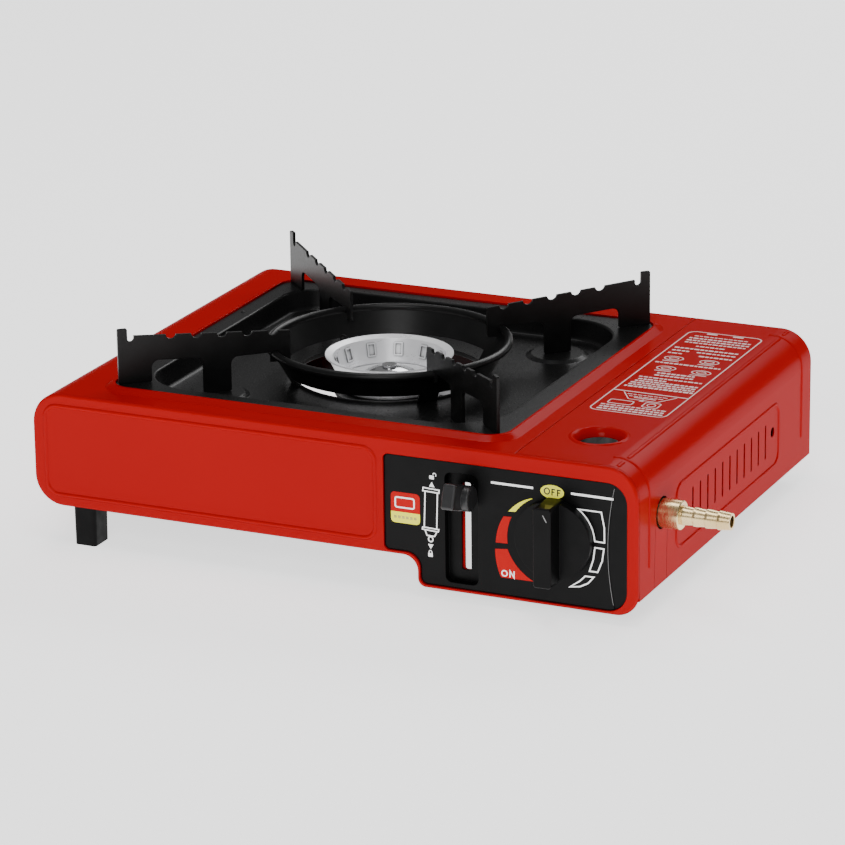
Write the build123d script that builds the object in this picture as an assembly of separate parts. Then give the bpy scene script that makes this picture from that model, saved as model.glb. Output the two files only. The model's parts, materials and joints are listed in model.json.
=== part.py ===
"""Portable cassette stove: pressed steel casing, lift-off tray and pan support, hinged cartridge lid."""
import math
import os

from build123d import *

# Body frame: X from the left edge, Y back from the front face, Z up from the table, in millimetres.
# Every piece is drawn there and moved once, in save(), to the row frame.

# ---- casing ----
BODY_W = 340.0          # outer width
BODY_D = 254.0          # outer depth, front face to rear face
TOP_Z = 83.0            # height of the top sheet
SIDE_BOTTOM_Z = 21.5    # lower edge of the burner side
BOX_BOTTOM_Z = 5.5      # lower edge of the control side
STEP_IN = 120.0         # where the lower edge steps down, in from the right face
CORNER_R = 17.0         # top corners of the front outline
LOW_LEFT_R = 16.0       # lower left corner
LOW_RIGHT_R = 12.0      # lower right corner
STEP_TOP_R = 8.0        # hollow corner of the step
STEP_FOOT_R = 4.5       # outer corner of the step
SHEET = 0.8             # pressed steel thickness
FOLD_R = 1.4            # bend at the edge of the front and rear panels
FOLD_D = 2.2            # depth of the end panels' rim
LAP_GAP = 0.3           # between the wrap and the flange it laps over
FLANGE_D = 7.0          # depth of the end panels' flange
LOW_FLANGE_W = 24.0     # inward flange under the left side wall
FRONT_BEAD_IN = 7.4     # bead rectangle in from the left edge
FRONT_BEAD_GAP = 4.6    # bead rectangle to the control panel
FRONT_BEAD_DROP = 6.5   # bead rectangle below the top sheet
FRONT_BEAD_UP = 6.3     # bead rectangle above the lower edge
FRONT_BEAD_R = 7.0

# ---- tray opening and its collar ----
LEFT_MARGIN = 35.9      # body edge to opening
LAND_W = 13.4           # opening to lid seam
FRONT_MARGIN = 17.5
BACK_MARGIN = 22.5
OPENING_R = 11.0
COLLAR_H = 2.5          # crest above the top sheet
COLLAR_CREST = 1.4      # flat crest width
COLLAR_SLOPE = 4.2      # width of the sloped outer face
LEDGE_W = 6.0           # ledge that carries the tray rim
LEDGE_Z_OFF = 0.6       # ledge top above the top sheet

# ---- lid over the cartridge bay ----
LID_W = 66.5
SEAM = 0.3              # gap round the lid
LID_BOTTOM_OFF = 8.0    # lid side wall ends this far above the control side's lower edge
HINGE_IN = 8.0          # hinge axis forward of the rear face
HINGE_UP = 14.5         # hinge axis above the control side's lower edge
HINGE_PIN_R = 1.5
HINGE_CLEAR = 0.06      # pin running clearance, radial
EAR_T = 1.2
EAR_R = 6.0
EAR_GAP = 0.3           # side gap between a lid ear and a cradle ear
EAR_LEAN = 210.0        # degrees: a cradle ear's stem runs forward and down
LID_EAR_IN = 0.8        # left lid ear in from the seam
PIN_HEAD_T = 1.0
PIN_HEAD_GAP = 0.15
PIN_CAP_T = 0.8
FINGER_LEFT = 4.8       # finger hole left of the lid's middle
FINGER_RIDGE = 0.5
FINGER_DIP = 4.0
BEAD_BREAK = 3.2        # gap between the long bead and a cross bead
LID_BEAD_END = 5.0      # end beads to the body's end faces
VENT_BEAD_SIDE = 23.0   # bead rectangle beyond the first vent
VENT_BEAD_HALF = 16.9   # half height of that rectangle
VENT_BEAD_R = 7.0
VENT_HOLE_UP = 2.6
FINGER_R = 10.5         # finger hole
FINGER_RING_R = 14.75   # dimple round the finger hole
FINGER_Y = 43.0
BEAD_R = 1.3            # radius of a pressed bead
BEAD_H = 0.6            # how far a bead stands proud
LONG_BEAD_IN = 12.4     # long bead inward of the side wall
CROSS_BEAD_Y = 15.6     # bead round the lid corner, from each end
CROSS_BEAD_DROP = 55.0  # how far that bead runs down the side
VENT_COUNT = 11
VENT_PITCH = 10.68
VENT_W = 2.0
VENT_H = 19.0
VENT_FIRST_Y = 75.4
VENT_MID_DROP = 41.6    # middle of the vents below the top sheet
VENT_HOLE_R = 2.7

# ---- control panel ----
PANEL_RIGHT_IN = 5.7    # panel edge in from the right face
PANEL_W = 132.6
PANEL_TOP_DROP = 8.3    # panel top below the top sheet
PANEL_EDGE = 1.7        # red margin along the stepped lower edge
PANEL_CORNER_R = 3.0
PANEL_RIGHT_R = 11.0
PANEL_FACE_Y = 0.9      # panel face behind the front face
PANEL_T = 2.1
PANEL_FIT = 0.25
CREASE_IN = 6.0         # ends of the crease, in from the panel's right edge
CREASE_BOW = 4.4        # how far the crease bows inwards
CREASE_DROP = 0.5       # panel falls back beyond the crease
PEG_R = 1.5             # pegs that hold the panel
PEG_IN = 9.0
PEG_FIT = 0.1
NUT_R = 3.6             # push nuts on the pegs
NUT_T = 0.6

# ---- lock lever ----
LEVER_IN = 94.2         # middle of the lever plate and its guide slot, in from the right face
RECESS_IN = 95.5        # middle of the panel's recess, in from the right face
LEVER_T = 2.0
LEVER_H = 7.0
RECESS_W = 18.2
RECESS_TOP_DROP = 14.2
RECESS_BOTTOM_DROP = 72.8
RECESS_R = 3.5
RECESS_D = 4.5          # depth of the recess below the panel face
RECESS_WALL = 1.0
SLOT_W = 3.9
SLOT_TOP_DROP = 20.0
SLOT_BOTTOM_DROP = 66.7
PIVOT_Y = 50.0
PIVOT_DROP = 43.0       # lever pivot below the top sheet
LEVER_REACH = 72.1      # pivot to the front of the finger cap
LEVER_SWING = 37.0      # degrees from UNLOCK to LOCK
CAP_LEN = 19.0          # flat front to round back
CAP_H = 13.2
CAP_W = 6.8
CAP_FRONT_R = 1.5
CAP_WALL = 6.0          # front of the cap ahead of the lever plate
LEVER_SHAFT_R = 2.5
SHAFT_CLEAR = 0.06
CRANK_REACH = 13.0
CRANK_T = 2.0
CRANK_OFF = 1.9         # crank in from the heat shield
LEVER_HUB_R = 4.6
CAP_SOFT = 1.0
CAP_BASE_W = 14.4        # round base behind the cap, hides the slot beside it
CAP_BASE_BACK = 2.4
SHAFT_HEAD_T = 1.2
SLOT_SHOW = 1.25        # how much of the red guide plate shows at the left of the panel's slot
ARM_HALF_FRONT = 12.0   # lower half of the bracket's side arm at the front
PIVOT_BOSS_R = 6.0
BRACKET_FOOT_W = 6.0
FINGER_PIN_R = 1.6
PUSHER_FIT = 0.35       # finger pin in its slot

# ---- knob and valve ----
KNOB_X_IN = 44.5        # knob axis in from the right face
KNOB_DROP = 41.2        # knob axis below the top sheet
KNOB_R = 20.4
KNOB_GAP = 0.3          # knob back to panel face
KNOB_RIM_T = 4.0
KNOB_ROOF = 2.4         # extra height of the disc at the grip
GRIP_W = 9.6
GRIP_LEN = 42.0
GRIP_H = 11.0           # grip above the disc
SPINDLE_R = 3.0
SPINDLE_CLEAR = 0.06
KNOB_BOSS_R = 5.5
GRIP_R = 1.6            # corners of the grip
GRIP_SOFT = 0.8
PEG_LEN = 2.6
PANEL_SOFT = 0.5
VALVE_Y0 = 10.0
VALVE_Y1 = 39.5
VALVE_W = 42.0
VALVE_H = 30.0
VALVE_UP = 13.0         # valve top above the knob axis
VALVE_SOFT = 3.0
BOSS_R = 4.0
SPINDLE_DEPTH = 14.0
REGULATOR_R = 15.0
REGULATOR_T = 2.0
OUTLET_BOSS = 4.0
IGNITER_LEFT = 9.0      # igniter left of the knob axis
IGNITER_R = 5.2
IGNITER_Y0 = 15.0
IGNITER_Y1 = 37.0
STRIKER_R = 2.4
STRIKER_Y0 = 9.3
STRIKER_BORE = 12.0
STRIKER_REST = 1.0
STRIKE_TRAVEL = 5.0
CAM_T = 1.4
CAM_GAP = 0.4
CAM_HALF_ANGLE = 16.0
LEAD_R = 1.2
LEAD_HOLE_Y = 60.0
LEAD_HOLE_Z = 70.0
LEAD_HOLE_GAP = 0.9
LEAD_LANE = 10.0        # straight runs of the lead beside its hole and behind the igniter
LEAD_RISE = 6.0
LEAD_FALL = 18.0        # lowest run of the lead below the mixing tube's axis

# ---- cartridge bay ----
CARTRIDGE_R = 34.0      # the standard cartridge that the bay takes
CARTRIDGE_LEN = 188.0
CARTRIDGE_FLOOR_GAP = 2.7
NOSE_GAP = 1.0          # locked cartridge nose to the connector's end
CONNECTOR_LEN = 8.0
CONNECTOR_R = 4.5
CONNECTOR_BORE = 2.0
SEAL_R = 1.2
CRADLE_FLOOR_IN = 10.0  # cradle floor edge in from the right face
CARTRIDGE_IN = 39.0     # cartridge axis in from the right face
CRADLE_LIP = 14.5
LID_SWEEP_CLEAR = 2.0   # cradle lips end this far before the lid's rear edge as it swings
SADDLE_SHARE = 0.55     # saddle half width over the cartridge radius
SADDLE_Y = 82.0
SADDLE_T = 10.0
SADDLE_FIT = 0.4
SHIELD_LIP = 2.5        # heat shield flange beyond the lid seam
PUSHER_OFF = 0.35       # pusher bar in from the heat shield
PUSHER_T = 1.2
PUSHER_H = 12.0
PUSHER_FRONT = 2.5      # bar forward of the lever pivot
PUSHER_TAB_PAST = 6.0   # tab beyond the cartridge axis
GUIDE_Y = 84.0
GUIDE_R = 2.0
GUIDE_HEAD_R = 4.0
GUIDE_HEAD_T = 0.9

# ---- gas inlet ----
INLET_Y = 33.0
INLET_DROP = 32.2
INLET_BODY_R = 7.5
INLET_BODY_LEN = 11.0
INLET_HOLE_R = 8.4
BARB_COUNT = 4
BARB_PITCH = 6.5
BARB_R = 4.9
BARB_ROOT_R = 4.3
BARB_LAND = 1.2
INLET_BORE_R = 3.1
INLET_NECK_R = 4.8
INLET_INNER_IN = 6.8    # inner bracket plate in from the lid's side wall
TONGUE_LAP = 2.3        # how far the backing plate overlaps the lid's wall
LOCKNUT_R = 8.0
LOCKNUT_T = 4.0
PIPE_R = 3.2
PIPE_BORE = 2.2
SHELF_UP = 12.0         # inlet bracket shelf above the control side's lower edge

# ---- burner ----
BURNER_RIM_R = 34.3
BURNER_RIM_UP = 2.4     # burner rim above the top sheet
BURNER_WALL = 1.6
BURNER_NECK_R = 23.5
BURNER_BASE_DROP = 33.0
BURNER_INNER_R = 30.2
HEAD_R = 14.0
HEAD_SLOTS = 10
POCKETS = 12
TUBE_R = 6.4
TUBE_WALL = 1.2
TUBE_DROP = 25.8        # mixing tube axis below the top sheet
JET_LEFT = 28.5         # jet, left of the valve
JET_Y_OUT = 87.7        # jet, in front of the burner axis
JET_R = 6.0
JET_LEN = 5.0
JET_TIP_R = 2.2
JET_TIP_LEN = 3.0
TUBE_MOUTH = 14.0
PIPE_TURN = 12.0        # gas pipe's bend, right of the jet
PIPE_BEND_R = 14.0
PIPE_HOLE_GAP = 0.8
BOWL_DEPTH = 20.0       # rim to the top of the neck
BOWL_FLOOR_DROP = 1.0
RIM_LIP = 1.6
RIM_DISH = 1.2
POCKET_LEAN = 5.0       # how far the inner wall leans in over its height
POCKET_DROP = 2.2
POCKET_W = 3.2
POCKET_H = 6.6
POCKET_FRAME = 0.8
POCKET_PROUD = 0.9
POCKET_SINK = 0.7       # pocket floor below the wall
HEAD_DROP = 7.5
HEAD_EDGE = 3.5
HEAD_NOTCH_R = 2.2
HEAD_BUTTON_R = 4.0
HEAD_BUTTON_H = 1.2
HEAD_STEM_R = 6.0
STRAP_W = 18.0
ELECTRODE_ANGLE = 155.0
ELECTRODE_OUT = 40.0
ELECTRODE_R = 0.8
INSULATOR_R = 2.8
INSULATOR_BELOW = 6.0
INSULATOR_DROP = 4.0
SPARK_GAP = 1.6

# ---- tray ----
TRAY_T = 0.8
TRAY_GAP = 0.4          # tray edge to the collar's inner face
TRAY_SEAT = 0.2
TRAY_DEPTH = 11.4
PAN_LEFT_IN = 11.0
PAN_RIGHT_IN = 12.6
PAN_FRONT_IN = 11.0
PAN_BACK_IN = 9.5
PAN_R_LEFT = 21.0
PAN_R_FRONT_LEFT = 28.0
PAN_R_RIGHT = 33.0
PAN_TAPER = 14.0
PAN_FLOOR_R = 2.5
PAN_BRIM_R = 1.2
RIVET_R = 1.6
RIVET_IN = 4.8
RIVET_BACK = 40.0       # rivet behind the burner's middle
TRAY_HOLE_R = 51.0
TRAY_LIP_H = 1.6
PAD_R = 17.0
PAD_H = 1.4

# ---- pan support ----
RING_R = 66.0           # outer radius of the rolled rim
RING_ROLL_R = 2.2
RING_UP = 10.85         # rim top above the top sheet
RING_H = 14.85
RING_FOOT_R = 55.6      # inner wall radius at its lower edge
RING_T = 1.2
RING_LEG_W = 11.0
ARM_T = 1.6
ARM_INSET = 4.1         # arm end in from the opening, each way
ARM_LEN = 94.0
PRONG_W = 5.3
PRONG_UP = 31.9         # prong tip above the top sheet
TEETH_UP = 27.7         # first tooth above the top sheet
TEETH_FALL = 0.0735     # slope of the tooth line
NOTCH_FIRST = 29.0
NOTCH_PITCH = 13.85
NOTCH_COUNT = 5
NOTCH_R = 2.9
NOTCH_DEPTH = 2.4
U_NOTCH_AT = 7.1
U_NOTCH_R = 1.75
U_NOTCH_UP = 26.3
FOOT_LEG_W = 18.0
WINDOW_UP = 13.4        # top of the outer window above the top sheet
WINDOW_R = 4.0
MID_LEG_AT = 46.0
MID_LEG_W = 15.2
INNER_WINDOW_UP = 10.2
INNER_DROP = 6.0        # inner end of the arm reaches this far below the ring rim
INNER_HOOK_W = 11.0
ARM_SOFT = 0.8
SUPPORT_SEAT = 0.2

# ---- feet ----
FOOT_W = 12.8
FOOT_D = 15.0
FOOT_X = 20.5
FOOT_Y = 3.0
FOOT_TAPER = 0.6
FOOT_EDGE_R = 2.0
PAD_FOOT_R = 8.0
PAD_FOOT_X_IN = 32.0
PAD_FOOT_Y = 30.0

# ---- derived places ----
LID_X0 = BODY_W - LID_W
OPEN_X0 = LEFT_MARGIN
OPEN_X1 = LID_X0 - LAND_W
OPEN_Y0 = FRONT_MARGIN
OPEN_Y1 = BODY_D - BACK_MARGIN
HUB_X = (OPEN_X0 + OPEN_X1) / 2
HUB_Y = (OPEN_Y0 + OPEN_Y1) / 2
SHIELD_X = OPEN_X1 + SHEET + 1.1
INNER_TOP_Z = TOP_Z - SHEET
LID_BOTTOM_Z = BOX_BOTTOM_Z + LID_BOTTOM_OFF
HINGE_Y = BODY_D - HINGE_IN
HINGE_Z = BOX_BOTTOM_Z + HINGE_UP
KNOB_X = BODY_W - KNOB_X_IN
STEP_X = BODY_W - STEP_IN
LEVER_X = BODY_W - LEVER_IN
RECESS_X = BODY_W - RECESS_IN
JET_X_OUT = KNOB_X - VALVE_W / 2 - JET_LEFT - HUB_X
PIPE_TURN_X = JET_X_OUT + PIPE_TURN
KNOB_Z = TOP_Z - KNOB_DROP
PANEL_BACK_Y = PANEL_FACE_Y + PANEL_T
PANEL_X1 = BODY_W - PANEL_RIGHT_IN
PANEL_X0 = PANEL_X1 - PANEL_W
PANEL_TOP_Z = TOP_Z - PANEL_TOP_DROP
KNOB_BACK_Y = PANEL_FACE_Y - KNOB_GAP
KNOB_RIM_Y = KNOB_BACK_Y - KNOB_RIM_T
KNOB_DISC_Y = KNOB_RIM_Y - KNOB_ROOF
KNOB_FRONT_Y = KNOB_DISC_Y - GRIP_H
NOZZLE_OUT = INLET_BODY_LEN + BARB_COUNT * BARB_PITCH
INLET_Z = TOP_Z - INLET_DROP
TONGUE_HALF_W = INLET_HOLE_R - SEAM
CRADLE_Z = BOX_BOTTOM_Z + SHEET
CARTRIDGE_X = BODY_W - CARTRIDGE_IN
CARTRIDGE_Z = CRADLE_Z + CARTRIDGE_FLOOR_GAP + CARTRIDGE_R
CARTRIDGE_Y0 = VALVE_Y1 + CONNECTOR_LEN + NOSE_GAP
PIVOT_Z = TOP_Z - PIVOT_DROP
PUSH_TRAVEL = 2 * CRANK_REACH * math.sin(math.radians(LEVER_SWING / 2))
PUSHER_Z = PIVOT_Z + CRANK_REACH
RECESS_TOP_Z = TOP_Z - RECESS_TOP_DROP
RECESS_BOTTOM_Z = TOP_Z - RECESS_BOTTOM_DROP
RECESS_FLOOR_Y = PANEL_FACE_Y + RECESS_D
BRACKET_Y = RECESS_FLOOR_Y + RECESS_WALL + LAP_GAP
BRACKET_X = RECESS_X + RECESS_W / 2 + RECESS_WALL + LAP_GAP
LEDGE_Z = TOP_Z + LEDGE_Z_OFF
TRAY_RIM_Z = LEDGE_Z + TRAY_SEAT + TRAY_T
TRAY_FLOOR_Z = TRAY_RIM_Z - TRAY_DEPTH
RING_TOP_Z = TOP_Z + RING_UP
TUBE_Z = TOP_Z - TUBE_DROP
BURNER_RIM_Z = TOP_Z + BURNER_RIM_UP
BURNER_BASE_Z = TOP_Z - BURNER_BASE_DROP
MID_X = (BODY_W + NOZZLE_OUT) / 2


# ---- drawing helpers ----
def slab_x(sketch, x0, x1):
    """Sketch drawn in (Y, Z), given thickness from x0 to x1."""
    plane = Plane(origin=(x0, 0, 0), x_dir=(0, 1, 0), z_dir=(1, 0, 0))
    return extrude(plane * sketch, amount=x1 - x0)


def slab_y(sketch, y0, y1):
    """Sketch drawn in (X, Z), given thickness from y0 to y1."""
    plane = Plane(origin=(0, y1, 0), x_dir=(1, 0, 0), z_dir=(0, -1, 0))
    return extrude(plane * sketch, amount=y1 - y0)


def slab_z(sketch, z0, z1):
    """Sketch drawn in (X, Y), given thickness from z0 to z1."""
    return extrude(Plane.XY.offset(z0) * sketch, amount=z1 - z0)


def block(x0, x1, y0, y1, z0, z1):
    middle = Pos((x0 + x1) / 2, (y0 + y1) / 2, (z0 + z1) / 2)
    return middle * Box(x1 - x0, y1 - y0, z1 - z0)


def rod_x(y, z, radius, x0, x1):
    return slab_x(Pos(y, z) * Circle(radius), x0, x1)


def rod_y(x, z, radius, y0, y1):
    return slab_y(Pos(x, z) * Circle(radius), y0, y1)


def rod_z(x, y, radius, z0, z1):
    return slab_z(Pos(x, y) * Circle(radius), z0, z1)


def rectangle(a0, a1, b0, b1):
    return Pos((a0 + a1) / 2, (b0 + b1) / 2) * Rectangle(a1 - a0, b1 - b0)


def rounded(a0, a1, b0, b1, radius):
    return Pos((a0 + a1) / 2, (b0 + b1) / 2) * RectangleRounded(a1 - a0, b1 - b0, radius)


def outline(corners, close=True):
    """Closed face from (a, b, radius) corners."""
    points = [(a, b) for a, b, _ in corners]
    radii = [radius for _, _, radius in corners]
    return make_face(FilletPolyline(*points, radius=radii, close=close).edges())


def grown(face, amount):
    return offset(face, amount=amount, kind=Kind.ARC)


def frame_of(face, inner, outer):
    """Band of a face between two offsets, the larger outwards."""
    return grown(face, outer) - grown(face, inner)


def bead(path, radius=BEAD_R, capped=True):
    """Round ridge that follows a path; open ends are domed."""
    section = Plane(origin=path @ 0, z_dir=path % 0) * Circle(radius)
    ridge = sweep(section, path=path)
    if capped:
        ridge = ridge + Pos(*(path @ 0)) * Sphere(radius) + Pos(*(path @ 1)) * Sphere(radius)
    return ridge


def tube_along(points, bend, radius, bore):
    """Pipe along straight runs joined by tangent arcs."""
    path = FilletPolyline(*points, radius=bend) if len(points) > 2 else Line(*points)
    section = Plane(origin=path @ 0, z_dir=path % 0) * (Circle(radius) - Circle(bore))
    return sweep(section, path=path)


def ring_of(profile):
    """Profile drawn as (radius, height), turned about the burner axis."""
    return Pos(HUB_X, HUB_Y, 0) * revolve(Plane.XZ * profile, axis=Axis.Z)


NODES = []


def save(name, shape):
    """Move a piece to the row frame and write it."""
    front_y = min(KNOB_FRONT_Y, cap_front_y())
    placed = Pos(-MID_X, -(BODY_D + front_y) / 2, 0) * shape
    export_step(Part() + placed, "parts/" + name + ".step")
    NODES.append(name)


# ---- casing outlines, seen from the front ----
def body_outline():
    return outline([
        (0, SIDE_BOTTOM_Z, LOW_LEFT_R),
        (STEP_X, SIDE_BOTTOM_Z, STEP_TOP_R),
        (STEP_X, BOX_BOTTOM_Z, STEP_FOOT_R),
        (BODY_W, BOX_BOTTOM_Z, LOW_RIGHT_R),
        (BODY_W, TOP_Z, CORNER_R),
        (0, TOP_Z, CORNER_R),
    ])


def panel_outline():
    """Recess of the front sheet that the black control panel fills."""
    return outline([
        (PANEL_X0, SIDE_BOTTOM_Z + PANEL_EDGE, PANEL_CORNER_R),
        (STEP_X + PANEL_EDGE, SIDE_BOTTOM_Z + PANEL_EDGE, STEP_TOP_R),
        (STEP_X + PANEL_EDGE, BOX_BOTTOM_Z + PANEL_EDGE, STEP_FOOT_R - SHEET),
        (PANEL_X1, BOX_BOTTOM_Z + PANEL_EDGE, PANEL_RIGHT_R),
        (PANEL_X1, PANEL_TOP_Z, PANEL_RIGHT_R),
        (PANEL_X0, PANEL_TOP_Z, PANEL_CORNER_R),
    ])


def recess_outline():
    half = RECESS_W / 2
    return rounded(RECESS_X - half, RECESS_X + half, RECESS_BOTTOM_Z, RECESS_TOP_Z, RECESS_R)


def lever_slot(show):
    """Slot that the lever plate moves in, wider by show at its left."""
    half = SLOT_W / 2
    low = TOP_Z - SLOT_BOTTOM_DROP
    high = TOP_Z - SLOT_TOP_DROP
    return rounded(LEVER_X - half - show, LEVER_X + half, low, high, half * 0.6)


# ---- casing pieces ----
def end_pan(face, y_face, y_inner):
    """Pressed end panel: folded rim at the outer face and a lapping flange inside."""
    low, high = min(y_face, y_inner), max(y_face, y_inner)
    inward = 1 if y_inner > y_face else -1
    pan = slab_y(face, low, high)
    outer_face = pan.faces().sort_by(Axis.Y)[0 if inward > 0 else -1]
    pan = fillet(outer_face.outer_wire().edges(), FOLD_R)
    hollow = sorted((y_face + inward * SHEET, y_inner))
    pan = pan - slab_y(grown(face, -SHEET), hollow[0], hollow[1])
    lap = SHEET + LAP_GAP
    flange = sorted((y_face + inward * SHEET / 2, y_face + inward * FLANGE_D))
    return pan + slab_y(frame_of(face, -lap - SHEET, -lap), flange[0], flange[1])


def front_bead_path():
    x0 = FRONT_BEAD_IN
    x1 = PANEL_X0 - FRONT_BEAD_GAP
    z0 = SIDE_BOTTOM_Z + FRONT_BEAD_UP
    z1 = TOP_Z - FRONT_BEAD_DROP
    y = BEAD_R - BEAD_H
    return FilletPolyline((x0, y, z0), (x1, y, z0), (x1, y, z1), (x0, y, z1), radius=FRONT_BEAD_R, close=True)


def peg_places():
    x0 = PANEL_X0 + PEG_IN
    x1 = PANEL_X1 - PEG_IN
    high = PANEL_TOP_Z - PEG_IN
    low = SIDE_BOTTOM_Z + PANEL_EDGE + PEG_IN
    return [(x0, high), (x0, low), (x1, high), (x1, BOX_BOTTOM_Z + PEG_IN * 2)]


def front_panel():
    window = panel_outline()
    pan = end_pan(body_outline(), 0, FOLD_D)
    pan = pan + slab_y(grown(window, SHEET), SHEET / 2, PANEL_BACK_Y + SHEET)
    pan = pan - slab_y(window, -SHEET, PANEL_BACK_Y)
    pan = pan + bead(front_bead_path(), capped=False)
    pan = pan - slab_y(grown(recess_outline(), RECESS_WALL + LAP_GAP), 0, BRACKET_Y)
    pan = pan - rod_y(KNOB_X, KNOB_Z, KNOB_BOSS_R + 1.0, 0, VALVE_Y0)
    for x, z in peg_places():
        pan = pan - rod_y(x, z, PEG_R + PEG_FIT, 0, VALVE_Y0)
    return pan


def rear_panel():
    right = LID_X0 - SEAM / 2
    face = body_outline() & rectangle(0, right, 0, TOP_Z)
    return end_pan(face, BODY_D, BODY_D - FOLD_D)


def opening_face():
    return rounded(OPEN_X0, OPEN_X1, OPEN_Y0, OPEN_Y1, OPENING_R)


def collar_solid(drop):
    """Frustum over the opening, lowered by drop."""
    hole = opening_face()
    foot = Plane.XY.offset(TOP_Z - drop) * grown(hole, COLLAR_CREST + COLLAR_SLOPE)
    crest = Plane.XY.offset(TOP_Z + COLLAR_H - drop) * grown(hole, COLLAR_CREST)
    return loft([foot, crest])


def body_shell():
    """Sheet wrapped over the left side and the top, with the collar round the tray opening."""
    section = frame_of(body_outline(), -SHEET, 0)
    section = section - rectangle(LID_X0 - SEAM / 2, BODY_W + SHEET, 0, TOP_Z + SHEET)
    section = section - rectangle(LOW_LEFT_R + LOW_FLANGE_W, LID_X0, 0, TOP_Z / 2)
    shell = slab_y(section, FOLD_D, BODY_D - FOLD_D)
    hole = opening_face()
    shell = shell - slab_z(grown(hole, COLLAR_CREST + COLLAR_SLOPE - SHEET), TOP_Z - 2 * SHEET, TOP_Z + SHEET)
    collar = collar_solid(0) - collar_solid(SHEET)
    collar = collar - slab_z(hole, TOP_Z - SHEET, TOP_Z + COLLAR_H + SHEET)
    wall = slab_z(frame_of(hole, 0, SHEET), LEDGE_Z - SHEET, TOP_Z + COLLAR_H)
    ledge = slab_z(frame_of(hole, -LEDGE_W, SHEET), LEDGE_Z - SHEET, LEDGE_Z)
    return shell + collar + wall + ledge


def outlet_y():
    """Where the gas pipe leaves the valve, so that it meets the jet's axis."""
    return HUB_Y - JET_Y_OUT - (PIPE_TURN_X - JET_X_OUT) * JET_Y_OUT / JET_X_OUT


def heat_shield():
    """Wall between the burner side and the cartridge bay."""
    y0, y1 = FLANGE_D + SHEET, BODY_D - FLANGE_D - SHEET
    top = INNER_TOP_Z - LAP_GAP
    wall = block(SHIELD_X, SHIELD_X + SHEET, y0, y1, BOX_BOTTOM_Z, top)
    flange = block(SHIELD_X, LID_X0 + SHIELD_LIP, y0, y1, top - SHEET, top)
    wall = wall + flange
    wall = wall - rod_x(PIVOT_Y, PIVOT_Z, LEVER_SHAFT_R + SHAFT_CLEAR, SHIELD_X - 1, SHIELD_X + 2)
    wall = wall - rod_x(outlet_y(), TUBE_Z, PIPE_R + PIPE_HOLE_GAP, SHIELD_X - 1, SHIELD_X + 2)
    wall = wall - rod_x(LEAD_HOLE_Y, LEAD_HOLE_Z, LEAD_R + LEAD_HOLE_GAP, SHIELD_X - 1, SHIELD_X + 2)
    for y in guide_places():
        wall = wall - rod_x(y, PUSHER_Z, GUIDE_R, SHIELD_X - 1, SHIELD_X + 2)
    return wall


def hinge_ear(x0, reach):
    """Ear with the hinge hole; its stem runs forward and down to the cradle floor."""
    disc = Circle(EAR_R)
    stem = Rot(0, 0, EAR_LEAN) * Pos(reach / 2, 0) * Rectangle(reach, EAR_R)
    face = Pos(HINGE_Y, HINGE_Z) * (disc + stem)
    face = face - Pos(HINGE_Y, HINGE_Z) * Circle(HINGE_PIN_R)
    return slab_x(face, x0, x0 + EAR_T)


def cradle_ear_places():
    left = LID_X0 + LID_EAR_IN + EAR_T + EAR_GAP
    right = BODY_W - CRADLE_FLOOR_IN - EAR_T
    return left, right


def cartridge_cradle():
    """Floor of the bay with two saddles for the cartridge and the lid's hinge ears."""
    x0, x1 = SHIELD_X + SHEET, BODY_W - CRADLE_FLOOR_IN
    y0, y1 = FLANGE_D + SHEET, BODY_D - FLANGE_D - SHEET
    low = BOX_BOTTOM_Z
    cradle = block(x0, x1, y0, y1, low, CRADLE_Z)
    lip_y1 = HINGE_Y - math.hypot(HINGE_IN, HINGE_Z - LID_BOTTOM_Z) - LID_SWEEP_CLEAR
    cradle = cradle + block(x0, x0 + SHEET, y0, lip_y1, low, low + CRADLE_LIP)
    cradle = cradle + block(x1 - SHEET, x1, y0, lip_y1, low, low + CRADLE_LIP)
    reach = (HINGE_Z - low) / math.sin(math.radians(EAR_LEAN - 180)) + EAR_R
    for x in cradle_ear_places():
        ear = hinge_ear(x, reach)
        cradle = cradle + (ear - block(x - 1, x + EAR_T + 1, 0, BODY_D, low - reach, low))
    saddle_half = CARTRIDGE_R * SADDLE_SHARE
    for y in (SADDLE_Y, BODY_D - SADDLE_Y):
        x0, x1 = CARTRIDGE_X - saddle_half, CARTRIDGE_X + saddle_half
        saddle = block(x0, x1, y, y + SADDLE_T, CRADLE_Z, CARTRIDGE_Z)
        seat = rod_y(CARTRIDGE_X, CARTRIDGE_Z, CARTRIDGE_R + SADDLE_FIT, y, y + SADDLE_T)
        cradle = cradle + (saddle - seat)
    return cradle - rod_x(HINGE_Y, HINGE_Z, HINGE_PIN_R, x0, x1)


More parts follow.
